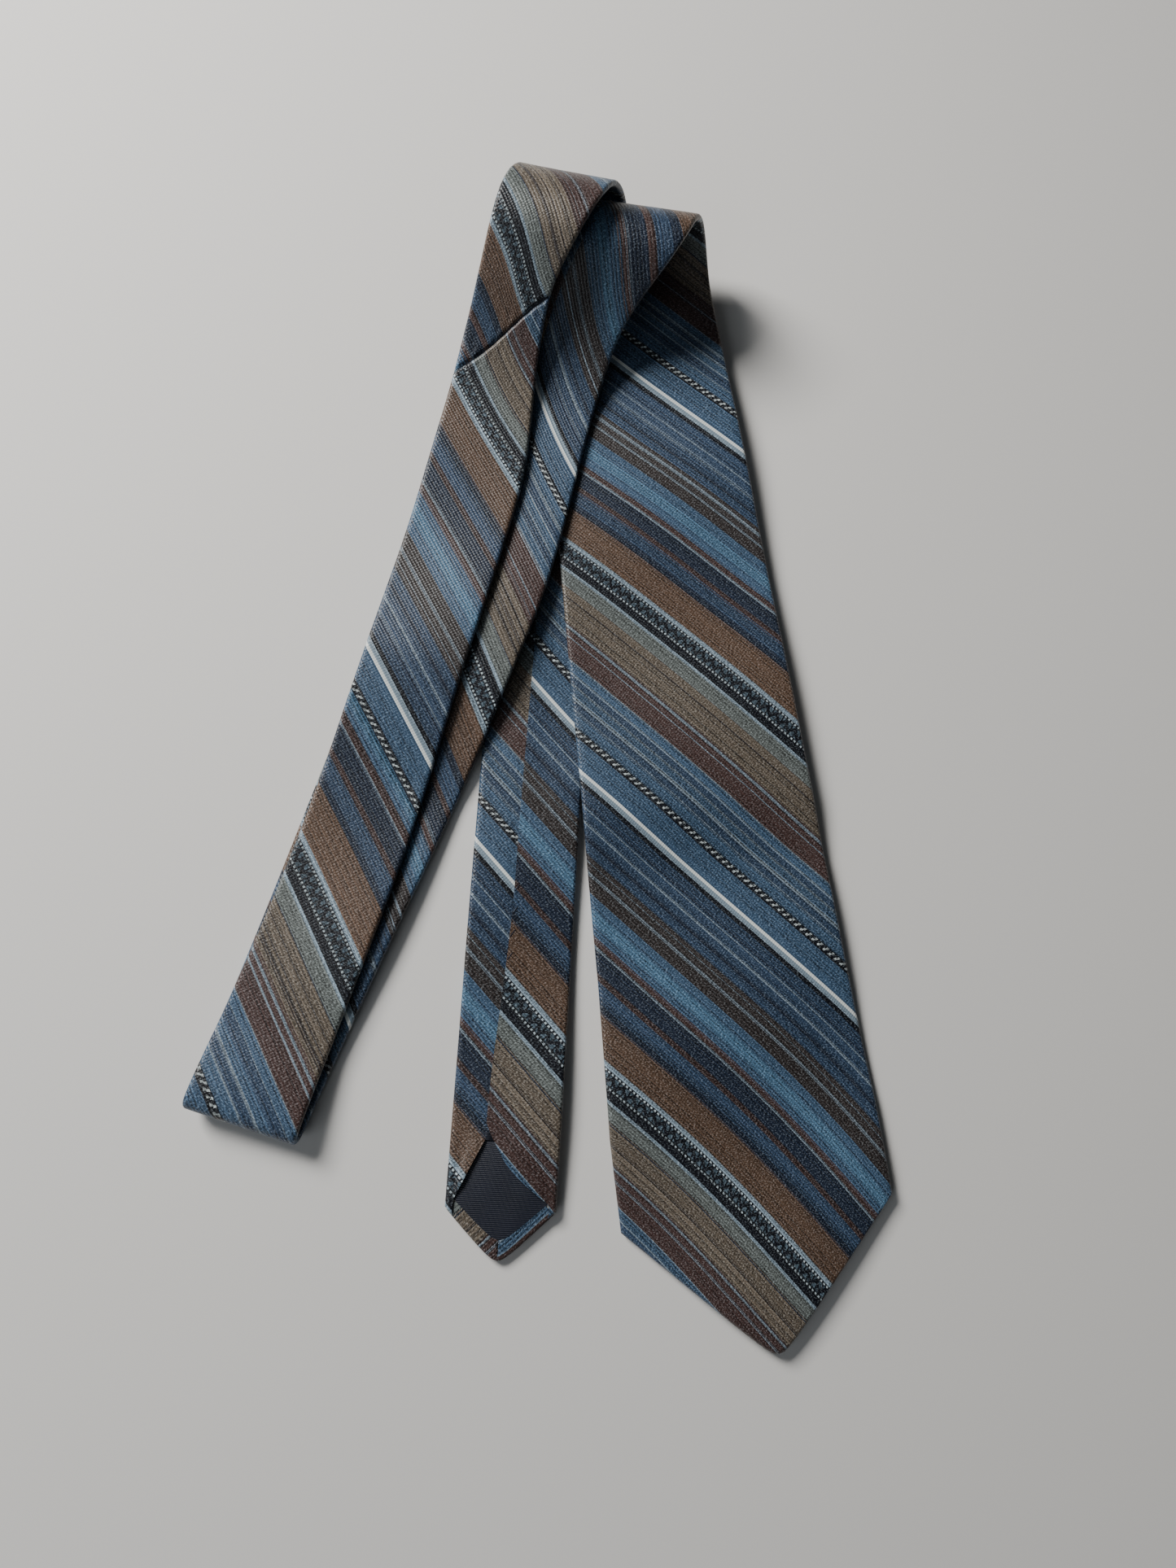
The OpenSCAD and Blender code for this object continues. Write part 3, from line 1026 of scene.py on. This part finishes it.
@dataclass
class Crease:
    """A seam across the tie: the cloth dips into it and puckers beside it."""

    row: float
    depth: float = 0.7
    reach: float = 0.9
    pucker: float = 0.14
    pucker_length: float = 5.3

    def dip(self, row: float, t: float) -> float:
        """How far the cloth sinks at a place near the seam."""
        away = abs(row - self.row)
        pucker = self.pucker * math.sin(2.0 * math.pi * t / self.pucker_length) * math.exp(-away / 4.0)
        return self.depth * math.exp(-((away / self.reach) ** 2)) + pucker * (1.0 - math.exp(-away))


@dataclass
class Shell(ClothPiece):
    """A stretch of the silk shell, wrapped round the interlining to meet behind."""

    panel: Panel = Panel.BLADE
    creases: list[Crease] = field(default_factory=list)
    tip: Optional[float] = None
    tack: float = 0.0
    opened: float = 0.0
    seam_line: list[tuple[float, float]] = field(default_factory=lambda: [(0.0, 0.0)])
    inset: float = 0.0
    face_columns: int = 36
    edge_columns: int = 7
    flap_columns: int = 14
    lap: float = 0.9
    turned: float = 5.0
    curl: float = 0.0
    overlap: float = 0.16
    wave: float = 0.2

    def columns(self) -> list[float]:
        """Places across the wrap, with most of them on the face and round the two edges."""
        total = 2 * self.flap_columns + 2 * self.edge_columns + self.face_columns
        return [index / total for index in range(total + 1)]

    def opening(self, row: float) -> float:
        """How far the back is open: 0 at the bar tack, 1 at the shoulders."""
        if self.tip is None:
            return 0.0
        reach = self.lie.half_width(row) - self.turned
        run = self.opened - self.tack - line_value(self.rows.points, row) * reach
        return min(max((row - self.tack) / run, 0.0), 1.0)

    def flap_end(self, side: float, row: float) -> float:
        """Where a flap's inner edge lies across the tie."""
        seam = table_value(self.seam_line, row)
        reach = self.lie.half_width(row) - self.turned
        closed = seam - side * self.lap
        return closed + (side * reach - closed) * self.opening(row)

    def _gaping(self, row: float) -> float:
        """Share of the curl at a row: none at the bar tack or the shoulders."""
        opening = self.opening(row)
        return smooth_step(0.0, 0.3, opening) * (1.0 - smooth_step(0.75, 1.0, opening))

    def closing(self, row: float) -> float:
        """Share of the full thickness, falling to 0 where the cloth is folded over at the tip."""
        if self.tip is None:
            return 1.0
        away = min(abs(row - self.tip) / math.sqrt(2.0) / (self.lie.thick / 2.0), 1.0)
        return math.sqrt(1.0 - (1.0 - away) ** 2)

    def across(self, share: float, row: float) -> tuple[float, float, float]:
        """Place of one column in a row: across, off the middle on the face side, and unrolled."""
        total = 2 * self.flap_columns + 2 * self.edge_columns + self.face_columns
        index = share * total - total / 2.0
        side = math.copysign(1.0, index)
        count = abs(index)
        radius = self.lie.thick / 2.0 - self.inset
        flat = self.lie.half_width(row) - self.lie.thick / 2.0
        half_face = self.face_columns / 2.0
        if count <= half_face:
            t = flat * count / half_face
            n, unrolled = radius, t
        elif count <= half_face + self.edge_columns:
            angle = math.pi * (count - half_face) / self.edge_columns
            t = flat + radius * math.sin(angle)
            n, unrolled = radius * math.cos(angle), flat + radius * angle
        else:
            inner = side * self.flap_end(side, row)
            run = (count - half_face - self.edge_columns) / self.flap_columns
            t = flat + (inner - flat) * run
            n, unrolled = -radius, flat + math.pi * radius + flat - t
            n -= side * self.overlap * smooth_step(0.6, 1.0, run) * (1.0 - self.opening(row))
            n -= self.curl * smooth_step(0.3, 1.0, run) * self._gaping(row)
        t *= side
        n *= self.closing(row)
        n += self._soft(t, n, row)
        return t, n, side * unrolled

    def _soft(self, t: float, n: float, row: float) -> float:
        """Small rise and fall of the cloth, with its dips into the seams."""
        facing = n / (self.lie.thick / 2.0)
        drift = math.sin(row / 31.0 + t / 17.0) + math.sin(row / 13.0 - t / 23.0 + 1.3)
        lift = 0.5 * self.wave * drift * abs(facing)
        return lift - facing * sum(crease.dip(row, t) for crease in self.creases)

    def uv(self, unrolled: float, s: float) -> tuple[float, float]:
        """Place of a point in the weaver's cloth."""
        return self.panel.cloth_uv(unrolled, s)


@dataclass
class Core(ClothPiece):
    """A stretch of the interlining inside the shell."""

    inset: float = 2.2
    height: float = 0.45
    count: int = 12

    def columns(self) -> list[float]:
        """Places across the core."""
        return [index / self.count for index in range(self.count + 1)]

    def across(self, share: float, row: float) -> tuple[float, float, float]:
        """Place of one column in a row: across, off the middle on the face side, and unrolled."""
        half = self.lie.half_width(row) - self.inset
        t = half * (2.0 * share - 1.0)
        return t, self.height, t


@dataclass
class Lining(ClothPiece):
    """The small lining that shows in the open back of a point."""

    shell: Optional[Shell] = None
    under: float = 3.0
    count: int = 16
    height: float = -0.56

    def columns(self) -> list[float]:
        """Places across the lining."""
        return [index / self.count for index in range(self.count + 1)]

    def across(self, share: float, row: float) -> tuple[float, float, float]:
        """Place of one column in a row: across, off the middle on the face side, and unrolled."""
        left = self.shell.flap_end(-1.0, row) - self.under
        right = self.shell.flap_end(1.0, row) + self.under
        edge = self.lie.half_width(row) - 1.9
        left = max(left, -edge)
        right = min(right, edge)
        t = left + (right - left) * share
        belly = 0.04 * math.sin(t / 3.1 + row / 5.0)
        return t, self.height + belly, t


@dataclass
class Hem(ClothPiece):
    """The silk turned over behind a point: two arms that meet in a mitre."""

    panel: Panel = Panel.BLADE
    tip: float = 0.0
    heading: float = 1.0
    band: float = 7.0
    height: float = -0.36
    count: int = 44

    def columns(self) -> list[float]:
        """Places along both arms, from one shoulder over the point to the other."""
        return [index / self.count for index in range(self.count + 1)]

    def build(self) -> bpy.types.Object:
        """Make the hem.

        Returns:
            The piece, thickened, with its finish and its cloth coordinates.
        """
        columns = self.columns()
        steps = 8
        bm = bmesh.new()
        bmesh.ops.create_grid(bm, x_segments=len(columns) - 1, y_segments=steps, size=0.5)
        marks: dict[bmesh.types.BMVert, tuple[float, float]] = {}
        reach = self.lie.half_width(self.tip) - 0.8
        for vert in bm.verts:
            place = (vert.co.x + 0.5) * 2.0 - 1.0
            away = (vert.co.y + 0.5) * self.band / math.sqrt(2.0)
            side = math.copysign(1.0, place)
            edge = abs(place) * reach
            t = max(edge - away, 0.0)
            turn = min(away / 0.8, 1.0)
            n = self.height * math.sqrt(1.0 - (1.0 - turn) ** 2)
            s = self.tip + self.heading * (math.hypot(edge, self.rows.blunt) + away)
            mirrored = self.tip + self.heading * (edge - away)
            marks[vert] = self.panel.cloth_uv(side * (edge + away), mirrored)
            vert.co = self.lie.place(side * t, s, n)
        layer = bm.loops.layers.uv.new("cloth")
        for face in bm.faces:
            face.smooth = True
            for loop in face.loops:
                loop[layer].uv = marks[loop.vert]
        if self.heading < 0.0:
            bmesh.ops.reverse_faces(bm, faces=bm.faces[:])
        return finish_piece(bm, self.name, self.finish, self.wall)


@dataclass
class Band(ClothPiece):
    """The keeper loop: a narrow folded band that stands a little off the back of the blade."""

    half_length: float = 22.0
    half_width: float = 4.5
    stand: float = 0.7
    count: int = 24

    def columns(self) -> list[float]:
        """Places along the band."""
        return [index / self.count for index in range(self.count + 1)]

    def across(self, share: float, row: float) -> tuple[float, float, float]:
        """Place of one column in a row: across, off the middle on the face side, and unrolled."""
        t = self.half_length * (1.0 - 2.0 * share)
        n = -self.lie.thick / 2.0 - 0.12 - self.stand * math.sin(math.pi * share) ** 0.5
        return t, n, t

    def uv(self, unrolled: float, s: float) -> tuple[float, float]:
        """Place of a point in the weaver's cloth."""
        return Panel.BLADE.cloth_uv(unrolled, s)


@dataclass
class Stitches:
    """A run of hand stitches: short round threads laid on the cloth."""

    name: str
    lie: Lie
    finish: bpy.types.Material
    places: list[tuple[float, float, float]]
    height: float = -1.3
    length: float = 2.8
    radius: float = 0.2
    sunk: float = 0.18

    def build(self) -> bpy.types.Object:
        """Make the run.

        Returns:
            One piece with every stitch in it.
        """
        bm = bmesh.new()
        for t, s, turn in self.places:
            made = bmesh.ops.create_cone(
                bm,
                cap_ends=True,
                segments=6,
                radius1=self.radius,
                radius2=self.radius,
                depth=self.length,
                matrix=Matrix.Rotation(math.radians(90.0), 4, "X"),
            )
            for vert in made["verts"]:
                spun = Matrix.Rotation(turn, 4, "Z") @ vert.co
                vert.co = self.lie.place(t + spun.x, s + spun.y, self.height + self.sunk + spun.z)
        for face in bm.faces:
            face.smooth = True
        return finish_piece(bm, self.name, self.finish)


# ---------------------------------------------------------------------------------------------
# The tie's stretches, each from one seam or split to the next
# ---------------------------------------------------------------------------------------------


@dataclass
class Hinge:
    """A line that part of the tie lifts about, as the two bodies see it."""

    held: str
    lifted: str
    row_held: float
    row_lifted: float

    def blend(self, piece: bpy.types.Object, lie: Lie) -> None:
        """Bake the piece's transform into its mesh; the line is worked out, but nothing bends across it."""
        start = lie.place(0.0, self.row_held, 0.0)
        end = lie.place(0.0, self.row_lifted, 0.0)
        end.z = start.z
        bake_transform(piece)


BLADE_HINGE = Hinge("laid_tie", "blade_end", 163.0, 137.0)
NECK_HINGE = Hinge("laid_tie", "doubled_neck", 509.0, 535.0)
FOLD_HINGE = Hinge("doubled_neck", "neck_end", 649.0, 675.0)
TAIL_HINGE = Hinge("laid_tie", "tail_end", 1350.0, 1376.0)


@dataclass
class Finishes:
    """The materials of the tie, made once."""

    silk: bpy.types.Material = field(default_factory=lambda: StripedSilk().make())
    lining: bpy.types.Material = field(default_factory=lambda: RibbedLining().make())
    wool: bpy.types.Material = field(default_factory=lambda: BrushedWool().make())
    thread: bpy.types.Material = field(default_factory=lambda: SewingThread().make())


@dataclass
class Stretch:
    """A length of the tie: its shell, the interlining inside it and the stitch that closes it."""

    name: str
    lie: Lie
    finishes: Finishes
    panel: Panel
    rows: Rows
    hinge: Hinge
    shell_nodes: tuple[str, ...]
    core_nodes: tuple[str, ...]
    stitch_nodes: tuple[str, ...]
    stitched: tuple[float, float]
    rests_on: tuple[str, ...] = ()
    creases: list[Crease] = field(default_factory=list)
    tip: Optional[float] = None
    tack: float = 0.0
    opened: float = 0.0
    seam_line: list[tuple[float, float]] = field(default_factory=lambda: [(0.0, 0.0)])
    shell_wall: float = 0.42
    core_wall: float = 0.85
    core_back: float = 2.0
    stitch_gap: float = 7.5
    stitch_turn: float = 0.55
    turned: float = 5.0
    curl: float = 0.0

    def shell(self) -> Shell:
        """Draw the shell."""
        return Shell(
            f"{self.name}_silk",
            self.lie,
            self.rows,
            self.shell_wall,
            self.finishes.silk,
            "shell",
            panel=self.panel,
            creases=self.creases,
            tip=self.tip,
            tack=self.tack,
            opened=self.opened,
            seam_line=self.seam_line,
            turned=self.turned,
            curl=self.curl,
        )

    def core(self) -> Core:
        """Draw the interlining, cut back a little from a point."""
        start, end = self.rows.start, self.rows.end
        if self.tip == start:
            start += self.core_back
        elif self.tip == end:
            end -= self.core_back
        rows = Rows(start, end, self.rows.slants, self.rows.points, self.rows.fine)
        name = f"{self.name}_interlining"
        return Core(name, self.lie, rows, self.core_wall, self.finishes.wool, "interlining")

    def stitches(self) -> Stitches:
        """Draw the slip stitch down the middle of the back."""
        start, end = self.stitched
        stations = [start + self.stitch_gap * index for index in range(int((end - start) / self.stitch_gap))]
        places = [(table_value(self.seam_line, here), here, self.stitch_turn) for here in stations]
        return Stitches(f"{self.name}_slip_stitch", self.lie, self.finishes.thread, places)

    def make(self) -> bpy.types.Object:
        """Build and dress the stretch.

        Returns:
            The shell's piece.
        """
        drawn = self.shell()
        shell = drawn.build()
        self.hinge.blend(shell, self.lie)
        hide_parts(*self.shell_nodes)
        extras = self.extras(drawn)
        flat, area = drawn.flat_size()
        drawn_core = self.core()
        core = drawn_core.build()
        self.hinge.blend(core, self.lie)
        if self.core_nodes:
            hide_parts(*self.core_nodes)
        flat, area = drawn_core.flat_size()
        thread = self.stitches().build()
        self.hinge.blend(thread, self.lie)
        if self.stitch_nodes:
            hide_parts(*self.stitch_nodes)
        LOG.info("%s: %d faces of silk", self.name, len(shell.data.polygons))
        return shell

    def extras(self, drawn: Shell) -> list[bpy.types.Object]:
        """Make what is sewn to this stretch.

        Args:
            drawn: The stretch's shell; not used here.

        Returns:
            The pieces that go with the shell.
        """
        return []


@dataclass
class PointedStretch(Stretch):
    """A stretch that ends in a point, with a lining, a hem and a bar tack behind it."""

    body: str = ""
    heading: float = 1.0
    hem_band: float = 7.0
    hem_wall: float = 0.3
    lining_wall: float = 0.16
    lining_lap: float = 1.0
    lining_past_tack: float = 4.0
    tack_length: float = 7.0
    tack_gap: float = 0.5
    tack_height: float = -1.35
    lining_node: str = ""
    tack_node: str = ""

    def extras(self, drawn: Shell) -> list[bpy.types.Object]:
        """Make the lining, the hem and the bar tack.

        Args:
            drawn: The stretch's shell.

        Returns:
            The hem, which goes with the shell.
        """
        hem = Hem(
            f"{self.name}_hem",
            self.lie,
            self.rows,
            self.hem_wall,
            self.finishes.silk,
            "shell",
            panel=self.panel,
            tip=self.tip,
            heading=self.heading,
            band=self.hem_band,
        ).build()
        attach(hem, self.body)
        edge = self.tip + self.heading * (self.hem_band - self.lining_lap) * math.sqrt(2.0)
        ends = sorted((edge, self.tack + self.heading * self.lining_past_tack))
        rows = Rows(ends[0], ends[1], self.rows.slants, self.rows.points)
        drawn_lining = Lining(
            f"{self.name}_lining",
            self.lie,
            rows,
            self.lining_wall,
            self.finishes.lining,
            "lining",
            shell=drawn,
        )
        lining = drawn_lining.build()
        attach(lining, self.body)
        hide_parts(self.lining_node)
        flat, area = drawn_lining.flat_size()
        seam = table_value(self.seam_line, self.tack)
        places = [
            (seam, self.tack + self.heading * self.tack_gap * (index - 2.0), math.pi / 2.0)
            for index in range(5)
        ]
        tack = Stitches(
            f"{self.name}_bar_tack",
            self.lie,
            self.finishes.thread,
            places,
            length=self.tack_length,
            height=self.tack_height,
        ).build()
        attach(tack, self.body)
        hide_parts(self.tack_node)
        return [hem]


@dataclass
class WideBlade(PointedStretch):
    """The wide blade, from its point to the top of the inner arch, with the keeper on its back."""

    keeper_row: float = 236.0
    keeper_width: float = 10.2
    keeper_wall: float = 0.5
    keeper_stitch: float = 3.2
    keeper_height: float = -1.75

    def extras(self, drawn: Shell) -> list[bpy.types.Object]:
        """Make the point's pieces and the keeper.

        Args:
            drawn: The stretch's shell.

        Returns:
            The hem and the keeper.
        """
        made = super().extras(drawn)
        half = self.keeper_width / 2.0
        rows = Rows(self.keeper_row - half, self.keeper_row + half, step=1.2)
        keeper = Band(
            "keeper_loop_band", self.lie, rows, self.keeper_wall, self.finishes.silk, "shell"
        )
        band = keeper.build()
        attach(band, "laid_tie")
        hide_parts("keeper_loop")
        for side, node in ((-1.0, "keeper_tack_left"), (1.0, "keeper_tack_right")):
            places = [
                (side * (keeper.half_length - 1.0), self.keeper_row + 1.5 * (index - 2.5), math.pi / 2.0)
                for index in range(6)
            ]
            stitches = Stitches(
                f"{node}_stitches",
                self.lie,
                self.finishes.thread,
                places,
                length=self.keeper_stitch,
                height=self.keeper_height,
            ).build()
            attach(stitches, "laid_tie")
            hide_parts(node)
        return made + [band]


@dataclass
class PanelSeam:
    """The dark line deep in a seam between two panels: its thread, and painted shade in the seam's gap."""

    name: str
    lie: Lie
    finishes: Finishes
    row: float
    slant: float
    body: str
    node: str
    half: float = 0.55
    inset: float = 0.62

    def make(self) -> bpy.types.Object:
        """Build and attach the seam.

        Returns:
            The seam's piece.
        """
        rows = Rows(self.row - self.half, self.row + self.half, [(0.0, self.slant)], step=0.3, fine_step=0.3)
        # Partly thread, partly painted shade: this near-black strip shows where the crease dips below it and
        # darkens the seam's gap.
        seam = Shell(
            self.name, self.lie, rows, 0.25, self.finishes.thread, "thread", inset=self.inset, wave=0.0
        ).build()
        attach(seam, self.body)
        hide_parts(self.node)
        return seam


@dataclass
class Necktie:
    """The whole tie."""

    lie: Lie
    finishes: Finishes
    blade_split: float = 502.0
    strip_split: float = 560.0
    blade_seam: float = 885.0
    tail_seam: float = 1040.0

    def make(self) -> None:
        """Build every stretch and seam, from the wide point to the narrow one."""
        for stretch in (self._blade(), self._strip(), self._loop(), self._neck(), self._tail()):
            stretch.make()
        for name, row, slant, body, node in (
            ("blade_to_neck_seam", self.blade_seam, -1.0, "doubled_neck", "blade_neck_seam"),
            ("neck_to_tail_seam", self.tail_seam, 1.0, "laid_tie", "neck_tail_seam"),
        ):
            PanelSeam(name, self.lie, self.finishes, row, slant, body, node).make()
            LOG.info("%s made", name)

    def _slope(self, skew: float) -> float:
        """Slant of a row that runs along a bend line."""
        return math.tan(math.radians(skew))

    def _deep_crease(self) -> Crease:
        """Draw the crease at the seam that shows, deeper and more puckered than the other."""
        return Crease(self.tail_seam, depth=0.8, reach=1.0, pucker=0.2, pucker_length=4.6)

    def _blade(self) -> WideBlade:
        """Draw the wide blade."""
        inner = self._slope(self.lie.inner_skew)
        rows = Rows(
            0.0,
            self.blade_split,
            slants=[(290.0, 0.0), (self.lie.inner_start, inner)],
            points=[(0.0, 1.0), (122.0, 0.0)],
            fine=[(0.0, 5.0)],
        )
        return WideBlade(
            "wide_blade",
            self.lie,
            self.finishes,
            Panel.BLADE,
            rows,
            BLADE_HINGE,
            shell_nodes=("blade_shell_end", "blade_shell_upper"),
            core_nodes=("interlining_blade_end", "interlining_blade_upper"),
            stitch_nodes=("slip_stitch_blade_end", "slip_stitch_blade_upper"),
            stitched=(128.0, self.blade_split),
            rests_on=("narrow_blade_silk",),
            tip=0.0,
            tack=122.0,
            opened=48.0,
            turned=8.0,
            body="blade_end",
            heading=1.0,
            hem_band=9.0,
            tack_length=9.0,
            lining_node="blade_lining",
            tack_node="blade_bar_tack",
        )

    def _strip(self) -> Stretch:
        """Draw the stretch that comes down from the inner arch."""
        inner, fold = self._slope(self.lie.inner_skew), self._slope(self.lie.fold_skew)
        rows = Rows(
            self.blade_split,
            self.strip_split,
            slants=[(self.blade_split, inner), (self.strip_split, fold)],
        )
        return Stretch(
            "inner_strip",
            self.lie,
            self.finishes,
            Panel.BLADE,
            rows,
            NECK_HINGE,
            shell_nodes=("blade_shell_strip",),
            core_nodes=("interlining_strip",),
            stitch_nodes=("slip_stitch_strip",),
            stitched=(self.blade_split + 2.5, self.strip_split),
            rests_on=("wide_blade_silk",),
        )

    def _loop(self) -> Stretch:
        """Draw the stretch through the lower fold, up to the first seam."""
        fold = self._slope(self.lie.fold_skew)
        rows = Rows(
            self.strip_split,
            self.blade_seam,
            slants=[(self.blade_seam - 80.0, fold), (self.blade_seam, -1.0)],
            fine=[(self.lie.fold_at - 9.0, self.lie.fold_at + 9.0), (self.blade_seam - 5.0, self.blade_seam)],
        )
        return Stretch(
            "lower_fold",
            self.lie,
            self.finishes,
            Panel.BLADE,
            rows,
            FOLD_HINGE,
            shell_nodes=("blade_shell_fold", "blade_shell_return"),
            core_nodes=("interlining_fold",),
            stitch_nodes=("slip_stitch_fold",),
            stitched=(self.strip_split + 2.5, self.blade_seam - 6.0),
            rests_on=("wide_blade_silk",),
            creases=[Crease(self.blade_seam)],
        )

    def _neck(self) -> Stretch:
        """Draw the neck panel, between the two seams."""
        middle = (self.blade_seam + self.tail_seam) / 2.0
        rows = Rows(
            self.blade_seam,
            self.tail_seam,
            slants=[(self.blade_seam, -1.0), (middle, 0.0), (self.tail_seam, 1.0)],
            fine=[(self.blade_seam, self.blade_seam + 5.0), (self.tail_seam - 5.0, self.tail_seam)],
        )
        return Stretch(
            "neck_panel",
            self.lie,
            self.finishes,
            Panel.NECK,
            rows,
            NECK_HINGE,
            shell_nodes=("neck_shell_return", "neck_shell_top"),
            core_nodes=("interlining_return",),
            stitch_nodes=("slip_stitch_return",),
            stitched=(self.blade_seam + 6.0, self.tail_seam - 6.0),
            rests_on=("inner_strip_silk", "lower_fold_silk"),
            creases=[Crease(self.blade_seam), self._deep_crease()],
        )

    def _tail(self) -> PointedStretch:
        """Draw the narrow blade, over the outer arch to its point."""
        outer = self._slope(self.lie.outer_skew)
        tip = self.lie.length
        tack = tip - 39.5
        rows = Rows(
            self.tail_seam,
            tip,
            slants=[(self.tail_seam, 1.0), (1110.0, outer), (1155.0, outer), (1220.0, 0.0)],
            points=[(tip - 75.0, 0.0), (tip, -1.0)],
            fine=[(self.tail_seam, self.tail_seam + 5.0), (tip - 4.0, tip)],
        )
        return PointedStretch(
            "narrow_blade",
            self.lie,
            self.finishes,
            Panel.TAIL,
            rows,
            TAIL_HINGE,
            shell_nodes=("tail_shell_upper", "tail_shell_end"),
            core_nodes=("interlining_tail_upper", "interlining_tail_end"),
            stitch_nodes=("slip_stitch_tail_upper", "slip_stitch_tail_end"),
            stitched=(self.tail_seam + 6.0, tack - 5.0),
            rests_on=("table",),
            creases=[self._deep_crease()],
            tip=tip,
            tack=tack,
            opened=tip - 19.5,
            seam_line=[(1200.0, 0.0), (1380.0, -2.0), (tack, -5.5)],
            turned=2.4,
            curl=1.0,
            body="tail_end",
            heading=-1.0,
            hem_band=5.4,
            tack_length=4.0,
            lining_node="tail_lining",
            tack_node="tail_bar_tack",
        )


# ---------------------------------------------------------------------------------------------
# Table, lights and camera
# ---------------------------------------------------------------------------------------------


@dataclass
class Softbox:
    """A square lamp that points at the tie."""

    name: str
    place: tuple[float, float, float]
    size: float
    power: float
    tint: Colour = (1.0, 1.0, 1.0)

    def make(self) -> None:
        """Hang the lamp."""
        lamp = bpy.data.lights.new(self.name, "AREA")
        lamp.size = self.size
        lamp.energy = self.power
        lamp.color = self.tint
        held = bpy.data.objects.new(self.name, lamp)
        held.location = self.place
        held.rotation_euler = (-Vector(self.place)).to_track_quat("-Z", "Y").to_euler()
        bpy.context.scene.collection.objects.link(held)


@dataclass
class Studio:
    """The pale table, the soft light and the camera, placed from the wide blade's point."""

    point: Vector
    table_side: float = 3.0
    stand: Vector = field(default_factory=lambda: Vector((-0.0661, 0.1155, 0.365)))
    look: Vector = field(default_factory=lambda: Vector((0.0803, 0.1964, -0.9772)))
    roll: float = 15.41
    lens: float = 24.98
    sensor: float = 36.0
    room_light: float = 0.045

    def make(self) -> None:
        """Build the whole set."""
        self._table()
        self._camera()
        world = bpy.data.worlds.new("room")
        world.use_nodes = True
        backdrop = world.node_tree.nodes["Background"]
        backdrop.inputs["Color"].default_value = (0.9, 0.95, 1.0, 1.0)
        backdrop.inputs["Strength"].default_value = self.room_light
        bpy.context.scene.world = world
        Softbox("window", (-0.62, 0.72, 0.72), 0.45, 22.0, (1.0, 0.98, 0.95)).make()
        Softbox("fill", (-0.9, -0.7, 0.8), 0.8, 3.0, (0.9, 0.95, 1.0)).make()

    def _table(self) -> None:
        """Lay the table top."""
        bm = bmesh.new()
        bmesh.ops.create_grid(bm, x_segments=1, y_segments=1, size=self.table_side / 2.0)
        mesh = bpy.data.meshes.new("table")
        bm.to_mesh(mesh)
        bm.free()
        bench = Bench("pale_table")
        bench.shader.inputs["Base Color"].default_value = (0.78, 0.77, 0.75, 1.0)
        bench.settle(roughness=0.8, sheen=0.0, specular=0.2)
        mesh.materials.append(bench.material)
        table = bpy.data.objects.new("table", mesh)
        bpy.context.scene.collection.objects.link(table)

    def _camera(self) -> None:
        """Set up the camera."""
        forward = self.look.normalized()
        right = forward.cross(Vector((0.0, 0.0, 1.0))).normalized()
        up = right.cross(forward)
        turn = math.radians(self.roll)
        x_axis = right * math.cos(turn) + up * math.sin(turn)
        y_axis = up * math.cos(turn) - right * math.sin(turn)
        lens = bpy.data.cameras.new("camera")
        lens.lens = self.lens
        lens.sensor_width = self.sensor
        lens.clip_start = 0.01
        camera = bpy.data.objects.new("camera", lens)
        turned = Matrix((x_axis, y_axis, -forward)).transposed().to_4x4()
        camera.matrix_world = Matrix.Translation(self.point + self.stand) @ turned
        bpy.context.scene.collection.objects.link(camera)
        bpy.context.scene.camera = camera


def wide_point() -> Vector:
    """Find the wide blade's point in the frame.

    Returns:
        Its place on the table, in metres.
    """
    low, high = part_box("blade_shell_end")
    return Vector(((low.x + high.x) / 2.0, low.y, 0.0))


def main() -> None:
    """Build the tie, the table and the camera."""
    logging.basicConfig(level=logging.INFO, format="%(name)s: %(message)s")
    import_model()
    point = wide_point()
    Studio(point).make()
    Necktie(Lie(origin=point), Finishes()).make()


if __name__ == "__main__":
    main()
